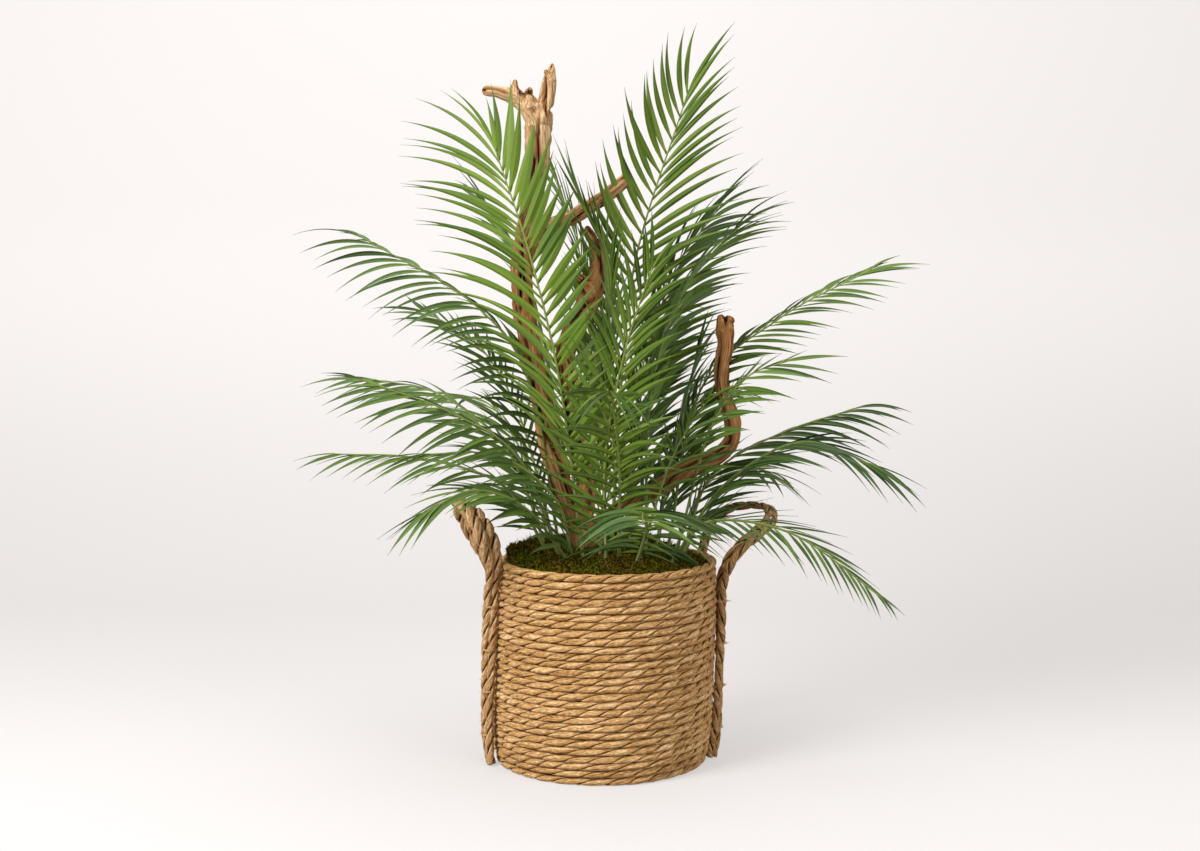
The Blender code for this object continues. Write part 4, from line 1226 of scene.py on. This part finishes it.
# %% Leaf material
def leaf_material():
    material, tree, shader = new_material("palm leaf", 0.50, specular=0.20)
    tone, tint, stem, rib, share = [marked(tree, name) for name in
                                    ("tone", "tint", "stem", "rib", "share")]
    lines = use_group(tree, fibres, Run=marked(tree, "run", "Vector"), Across=1500.0, Along=9.0)
    veins, clumps = lines.outputs["Streaks"], lines.outputs["Clumps"]
    # The tone is partly painted shade, and the tint partly a painted reflection of the pale
    # surroundings.
    yellow = toned(tree, tone, (0.028, 0.060, 0.003), (0.115, 0.190, 0.012),
                   (0.290, 0.390, 0.055))
    blue = toned(tree, tone, (0.018, 0.045, 0.010), (0.082, 0.150, 0.040),
                 (0.240, 0.340, 0.130))
    cool = maths(tree, 'ADD', tint, maths(tree, 'MULTIPLY', share, 0.40), clamp=True)
    green = mixed(tree, cool, yellow, blue)
    near_stalk = total(tree, 0.40, (ramp(tree, share, 0.0, 0.22), -0.40))
    midrib = total(tree, 0.28, (ramp(tree, rib, 0.0, 0.30), -0.28))
    pale = maths(tree, 'MAXIMUM', near_stalk, midrib)
    green = mixed(tree, pale, green, (0.27, 0.36, 0.045))
    lined = mixed(tree, maths(tree, 'MULTIPLY', veins, 0.32), green,
                  mixed(tree, 0.5, green, (0.02, 0.05, 0.01)))
    stalk = toned(tree, clumps, (0.130, 0.170, 0.040), (0.270, 0.310, 0.100),
                  (0.450, 0.460, 0.230))
    painted(tree, shader, mixed(tree, stem, lined, stalk))
    tree.links.new(total(tree, 0.40, (veins, 0.14)), shader.inputs["Roughness"])
    bumped(tree, shader, veins, 0.35, 0.0003)
    return material


palm_leaf = leaf_material()
print("leaf material:", palm_leaf.name)

# %% Habits of the leaflets
# How the leaflets of a frond grow. Some values are pairs: for the first and the last pair
# of leaflets, or for the left and the right row.
#   bare     share of the stalk without leaflets, at its foot
#   apart    distance between the pairs
#   opening  angles to the stalk in degrees, at the first and the last pair
#   closing  above 1 a row stays open for longer (left, right)
#   folded   share of its angle that the very first pair opens to
#   arch     how far leaflets bow outward, against their length (left, right)
#   under    the same, towards the frond's underside
#   fall     how far they fall where they point up and where they lie level
#   ends     lengths of the first and the last pair, against the longest
#   peak     where on the leafy part the longest pair is
#   width    half width against length
#   rows, broad, spread    shares of the length, the width and the angle (left, right)
USUAL = {"bare": 0.16, "apart": 0.0200, "opening": (46, 16), "closing": (1.0, 1.0),
         "folded": 1.0, "arch": (0.10, 0.10), "under": 0.07, "fall": (0.03, 0.12),
         "ends": (0.85, 0.80), "peak": 0.4, "width": 0.031, "rows": (1.0, 1.0),
         "broad": (1.0, 1.0), "spread": (1.0, 1.0)}
TALL = {"apart": 0.0182, "opening": (52, 14), "closing": (1.8, 1.8), "arch": (0.0, 0.14),
        "under": 0.26, "ends": (0.9, 0.65), "width": 0.033}
HABITS = {
    "tall_left": {**TALL, "bare": 0.22, "apart": 0.0140, "opening": (52, 12),
                  "closing": (14.0, 6.0), "folded": 0.75, "arch": (0.24, 0.0), "under": 0.18,
                  "ends": (0.86, 0.55), "peak": 0.90, "width": 0.031, "rows": (0.98, 0.68),
                  "broad": (0.68, 1.08), "spread": (0.86, 1.0)},
    "tall_right": {**TALL, "apart": 0.0165, "opening": (72, 13), "closing": (16.0, 1.3),
                   "arch": (-0.26, 0.10), "ends": (0.60, 0.68), "rows": (0.94, 1.06),
                   "broad": (0.95, 0.84), "spread": (0.50, 1.0), "folded": 0.40},
    "back_right_mid": {"apart": 0.0140, "opening": (34, 12), "width": 0.042},
    "inner_right": {"bare": 0.45, "apart": 0.0160, "opening": (54, 20), "fall": (0.08, 0.20),
                    "rows": (0.55, 1.0)},
    "front_reach": {"bare": 0.06, "apart": 0.0160, "opening": (66, 24), "fall": (0.08, 0.24),
                    "width": 0.030},
    "right_high": TALL,
    "back_right_high": TALL,
    "centre_front": {**TALL, "bare": 0.06, "apart": 0.0145, "opening": (62, 18),
                     "closing": (0.9, 0.9), "under": 0.20, "ends": (0.85, 0.65)},
    "centre_upright": {"bare": 0.12, "apart": 0.0155},
    "inner_left": {"bare": 0.06, "apart": 0.0180},
    "left_high": {"apart": 0.0150, "opening": (62, 20), "closing": (1.0, 2.6),
                  "fall": (0.08, 0.22), "ends": (0.80, 0.68), "width": 0.027,
                  "arch": (-0.35, 0.12), "rows": (0.50, 1.0), "broad": (1.5, 1.0),
                  "spread": (0.75, 1.0)},
    "left_mid": {"apart": 0.0150, "opening": (54, 18), "closing": (1.0, 2.2),
                 "fall": (0.04, 0.11), "width": 0.029, "arch": (-0.35, 0.10),
                 "rows": (0.62, 0.98), "broad": (1.5, 1.0), "spread": (0.75, 1.0)},
    "left_front_low": {"apart": 0.0150, "opening": (44, 15), "width": 0.040},
    "right_long": {"apart": 0.0125, "closing": (4.0, 2.0),
                   "fall": (0.02, 0.06), "under": 0.03, "arch": (0.10, -0.40),
                   "ends": (0.95, 0.85), "width": 0.026, "rows": (1.0, 0.50),
                   "broad": (1.0, 1.6), "spread": (1.0, 0.80)},
    "right_dark": {"apart": 0.0165, "fall": (0.06, 0.18), "ends": (0.9, 0.65)},
    "right_low_back": {"apart": 0.0155, "fall": (0.03, 0.10), "width": 0.032},
    "right_mid": {"bare": 0.33, "apart": 0.0150, "opening": (56, 14), "closing": (3.2, 1.0),
                  "fall": (0.02, 0.04), "under": 0.02, "arch": (0.08, 0.10),
                  "ends": (0.95, 0.72), "width": 0.026, "rows": (1.05, 0.45),
                  "spread": (1.0, 0.5)},
    "right_droop": {"apart": 0.0150, "opening": (42, 18), "fall": (0.03, 0.10),
                    "ends": (0.95, 0.42), "width": 0.026, "rows": (0.9, 1.15),
                    "spread": (1.0, 0.7)},
    "front_droop": {"apart": 0.0125, "opening": (88, 56), "fall": (0.12, 0.42), "under": 0.0,
                    "width": 0.040, "rows": (0.88, 1.08)},
    "back_left_high": {"bare": 0.20, "apart": 0.0150, "opening": (42, 20),
                       "fall": (0.03, 0.08), "under": 0.02, "arch": (0.10, 0.12),
                       "width": 0.026, "rows": (0.55, 1.0)},
}


SIDED = ("closing", "arch", "rows", "broad", "spread")


def row_habit(name, hand):
    """The habit of the leaflets on one side of a stalk: hand is 1 for left, -1 for right."""
    habit = {**USUAL, **HABITS.get(name, {})}
    return {key: value[hand < 0] if key in SIDED else value for key, value in habit.items()}


print("fronds with a habit of their own:", len(HABITS))

# %% Stalk and leaflets of a frond
STALK_RADIUS, STALK_TIP_RADIUS, STALK_CLEAR = 0.0031, 0.0009, 0.004
STALK_ROOT = 0.012              # how deep a stalk stands in the moss
STALK_STEPS, STALK_SIDES = 120, 8
NARROWEST, WIDEST = 0.0016, 0.0074      # half widths of a leaflet
FOLD = 0.42                             # its margins' height against its half width
SECTIONS = 14
# How much leaflets differ: their lengths and falls (factors), the spread of their angles
# and rises (degrees), and of their twist at the foot and what it gains to the tip (radians).
LENGTHS, FALLS = (0.92, 1.06), (0.7, 1.3)
ANGLES_DIFFER, RISES_DIFFER, TWISTS_DIFFER = 3.0, 5.0, (0.20, 0.30)


def stalk_frames(foot, points, roll):
    """Points along a stalk, and at each its direction, its upper side and its left."""
    base = (*foot, moss_level(*foot) + STALK_CLEAR)
    below = (*foot, moss_level(*foot) - STALK_ROOT)
    line = np.vstack([below, route([base, *points], STALK_STEPS)])
    tangents = directions(line)
    tangents[0] = (0, 0, 1)
    middle = tangents[int(len(line) * 0.6)]
    up = unit(np.array([0, 0, 1.0]) - middle * middle[2])
    roll = math.radians(roll)
    face = up * math.cos(roll) + np.cross(middle, up) * math.sin(roll)
    upper = unit(face - tangents * (tangents @ face)[:, None])
    return line, tangents, upper, np.cross(tangents, upper)


def leaflet_length(share, ends, peak):
    """Length of a leaflet against the longest one, from the first pair to the last."""
    away = np.where(share < peak, (peak - share) / peak, (share - peak) / (1 - peak))
    return blend(1.0, np.where(share < peak, *ends), away ** 2)


def leaflet_lines(origin, tangent, upper, side, hand, share, longest, raised, dice, habit):
    """Middle line, way outward, length and half width of leaflets from places on a stalk."""
    many = len(origin)
    length = (longest * leaflet_length(share, habit["ends"], habit["peak"])
              * dice.uniform(*LENGTHS, many))
    wide = habit["width"] * length * habit["broad"]
    length = length * habit["rows"]
    opening = blend(*habit["opening"], share ** habit["closing"])
    opening = opening * blend(habit["folded"], 1, np.clip(share / 0.25, 0, 1))
    opening = np.radians(opening * habit["spread"] + dice.normal(0, ANGLES_DIFFER, many))
    rise = np.radians(raised + dice.normal(0, RISES_DIFFER, many))
    out = side * (hand * np.cos(rise))[:, None] + upper * np.sin(rise)[:, None]
    way = tangent * np.cos(opening)[:, None] + out * np.sin(opening)[:, None]
    level = np.hypot(way[:, 0], way[:, 1])
    fall = length * blend(*habit["fall"], level ** 2) * dice.uniform(*FALLS, many)
    t = np.linspace(0, 1, SECTIONS)[None, :, None]
    long = length[:, None, None]
    ahead = tangent * np.sin(opening)[:, None] - out * np.cos(opening)[:, None]
    line = origin[:, None] + way[:, None] * long * t
    line = line + ahead[:, None] * (habit["arch"] * long) * (t - t ** 2)
    line = line - upper[:, None] * (habit["under"] * long) * t ** 2
    line = line - np.array([0, 0, 1.0]) * fall[:, None, None] * t ** 2.2
    return line, out, length, np.clip(wide, NARROWEST, WIDEST)


def folded_blades(line, tangent, out, hand, wide, dice):
    """Blades along their middle lines, (leaflets, sections, 4, 3), and their half widths."""
    t = np.linspace(0, 1, SECTIONS)[None, :, None]
    heading = unit(np.gradient(line, axis=1))
    flat = unit(np.cross(out, tangent) * hand)
    at_foot, to_tip = [dice.normal(0, spread, len(line))[:, None, None]
                       for spread in TWISTS_DIFFER]
    turn = at_foot + t * to_tip
    across = unit(np.cross(heading, flat[:, None]))
    normal = np.cross(across, heading)
    across, normal = (across * np.cos(turn) + normal * np.sin(turn),
                      normal * np.cos(turn) - across * np.sin(turn))
    bulge = t ** 0.9 * (1 - t) ** 1.6 / 0.195       # 1 where it is widest, a third of the way out
    half = wide[:, None, None] * np.maximum(bulge, 0.30 * (1 - t)) + 0.00012
    fold = normal * half * FOLD
    rib = normal * (0.00035 * (1 - 0.6 * t) + 0.00005)
    return np.stack([line - across * half + fold, line - rib, line + across * half + fold,
                     line + rib], axis=2), half


print("leaflets are", SECTIONS, "sections long")

# %% Grow every frond
FIRST_SEED = 900


def grow(name, row, seed):
    """One frond: its stalk and both rows of leaflets. Gives the number of leaflets."""
    # A frond's tone is partly painted shade and its tint partly painted reflection.
    foot, rise, bend_at, tip, longest, roll, raised, tone, tint = row
    dice = np.random.default_rng(seed)
    line, tangents, upper, side = stalk_frames(foot, (rise, bend_at, tip), roll)
    travelled = distances(line)
    length = travelled[-1]
    heap = Heap()
    thick = blend(STALK_RADIUS, STALK_TIP_RADIUS, (travelled / length) ** 0.7)[:, None]
    _, cosines, sines = around(STALK_SIDES)
    pale = blend(1.0, 0.35, np.clip(travelled / length / 0.35, 0, 1))
    heap.add(tube(line, upper * thick * 0.85, -side * thick, STALK_SIDES),
             run=run_mark(cosines * 0.003, sines * 0.003, travelled[:, None] + seed),
             tone=[tone], tint=[tint], stem=per_section(pale), rib=[1.0], share=[0.0])

    for hand in (1.0, -1.0):
        habit = row_habit(name, hand)
        bare = habit["bare"]
        pairs = round(length * (1 - bare) / habit["apart"])
        share = np.linspace(0, 1, pairs) + hand * 0.2 / pairs
        share = np.clip(share + dice.normal(0, 0.12 / pairs, pairs), 0, 1)
        distance = length * (bare + (1 - bare) * share) - 0.002
        spot = np.interp(distance, travelled, np.arange(len(line)))
        whole = np.minimum(spot.astype(int), len(line) - 2)
        part = (spot - whole)[:, None]
        here = [unit(values[whole] * (1 - part) + values[whole + 1] * part)
                for values in (tangents, upper, side)]
        origin = line[whole] * (1 - part) + line[whole + 1] * part
        middle, out, lengths, wide = leaflet_lines(origin, *here, hand, share, longest, raised,
                                                   dice, habit)
        blades, half = folded_blades(middle, here[0], out, hand, wide, dice)
        t = np.linspace(0, 1, SECTIONS)
        along = t * lengths[:, None] + 1.3 * np.arange(pairs)[:, None]
        run = run_mark(np.array([-1, 0, 1, 0]) * half, 0.0, along[:, :, None])
        shade = tone + dice.normal(0, 0.10, pairs) - 0.20 * (dice.random(pairs) < 0.14)
        hue = tint + dice.normal(0, 0.15, pairs)
        heap.add_many(blades, sharp=True, run=run, tone=per_sweep(np.clip(shade, 0.1, 0.95)),
                      tint=per_sweep(np.clip(hue, 0, 1)), stem=[0.0],
                      rib=per_side(np.array([1, 0, 1, 0])), share=per_section(t))
    heap.build("palm_" + name, palm_leaf, "leaf", ["frond_" + name])
    return pairs * 2


grown = sum(grow(name, row, FIRST_SEED + number)
            for number, (name, row) in enumerate(FRONDS.items()))
print("leaflets:", grown, "triangles:",
      sum(count for name, count in made.items() if name.startswith("palm_")))

# %% [markdown]
# ## Floor and light
#
# A pale floor runs back and curves up into a pale wall, so no line shows behind the plant.
# The wall has only a front: from behind it is clear, so the plant can be seen from all sides.
# The light comes from large soft lamps: the strongest from the front left, as the brighter
# left side of the basket shows, a weaker one from the right and one from above. The
# floor's own brightness to the camera comes from its material, not from stronger lamps.

# %% Floor
FLOOR_FRONT, WALL_START, WALL_BEND, WALL_TOP, HALF_WIDTH = -7.0, 1.1, 0.9, 4.0, 8.0


def seen_by_camera(tree):
    """1 for the camera, also in reflections and through glass, and 0 for all other light."""
    path = add_node(tree, "LightPath")
    seen = maths(tree, 'ADD', path.outputs["Is Camera Ray"], path.outputs["Is Glossy Ray"])
    return maths(tree, 'ADD', seen, path.outputs["Is Transmission Ray"], clamp=True)


def floor_material():
    material, tree, shader = new_material("pale floor", 0.9, specular=0.1)
    shader.inputs["Base Color"].default_value = (0.30, 0.288, 0.283, 1)
    shader.inputs["Emission Color"].default_value = (1.0, 0.955, 0.935, 1)
    shape = add_node(tree, "NewGeometry")
    spot = add_node(tree, "SeparateXYZ", {0: shape.outputs["Position"]})
    far = ramp(tree, spot.outputs["Y"], -0.3, 0.7)
    far_right = maths(tree, 'MULTIPLY', ramp(tree, spot.outputs["X"], -0.3, 1.1), far)
    # glow paints light and shade on the backdrop: brighter up the wall, darker far back and to the
    # far right.
    glow = total(tree, 0.535, (ramp(tree, spot.outputs["Z"], 0.0, 0.8), 0.14), (far, -0.04),
                 (far_right, -0.03))
    tree.links.new(maths(tree, 'MULTIPLY', seen_by_camera(tree), glow),
                   shader.inputs["Emission Strength"])
    clear = add_node(tree, "BsdfTransparent")
    front_only = add_node(tree, "MixShader", {0: shape.outputs["Backfacing"],
                                              1: shader.outputs[0], 2: clear.outputs[0]})
    tree.links.new(front_only.outputs[0], tree.nodes["Material Output"].inputs["Surface"])
    return material


def sweep_floor():
    """One sheet: the floor, a round bend and the wall."""
    line = [(FLOOR_FRONT, 0.0), (WALL_START, 0.0)]
    line += [(WALL_START + WALL_BEND * math.sin(a), WALL_BEND - WALL_BEND * math.cos(a))
             for a in np.linspace(0.05, math.pi / 2, 16)]
    line += [(WALL_START + WALL_BEND, WALL_TOP)]
    points = [(x, y, z) for y, z in line for x in (-HALF_WIDTH, HALF_WIDTH)]
    faces = [(2 * k, 2 * k + 1, 2 * k + 3, 2 * k + 2) for k in range(len(line) - 1)]
    floor = new_object("floor", smooth_mesh("floor", points, faces))
    floor.data.materials.append(floor_material())


sweep_floor()
print("floor laid")

# %% Lamps and world
SKY_LIGHT, SKY_SEEN = 0.24, 0.78         # as a light, and as a pale backdrop past the floor


def soft_lamp(name, place, target_height, size, power):
    """A square lamp that looks at the plant's middle, at a height."""
    lamp = bpy.data.lights.new(name, 'AREA')
    lamp.shape = 'SQUARE'
    lamp.size = size
    lamp.energy = power
    thing = new_object(name, lamp)
    thing.location = place
    aim = Vector((0, 0, target_height)) - Vector(place)
    thing.rotation_euler = aim.to_track_quat('-Z', 'Y').to_euler()


soft_lamp("key from the left", (-2.0, -1.7, 2.0), 0.45, 1.3, 109)
soft_lamp("fill from the right", (2.2, -1.9, 1.3), 0.45, 1.8, 42)
soft_lamp("lamp above", (0.2, 0.3, 3.0), 0.3, 2.0, 50)

world = bpy.data.worlds.new("soft daylight")
bpy.context.scene.world = world
world.use_nodes = True
tree = world.node_tree
sky = tree.nodes["Background"]
sky.inputs["Color"].default_value = (1.0, 0.99, 0.98, 1)
tree.links.new(total(tree, SKY_LIGHT, (seen_by_camera(tree), SKY_SEEN - SKY_LIGHT)),
               sky.inputs["Strength"])
bpy.context.scene.view_settings.view_transform = 'Standard'
print("lamps:", len(bpy.data.lights))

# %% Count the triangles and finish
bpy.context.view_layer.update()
largest = max(made, key=made.get)
print("triangles in all:", sum(made.values()), "largest piece:", largest, made[largest])
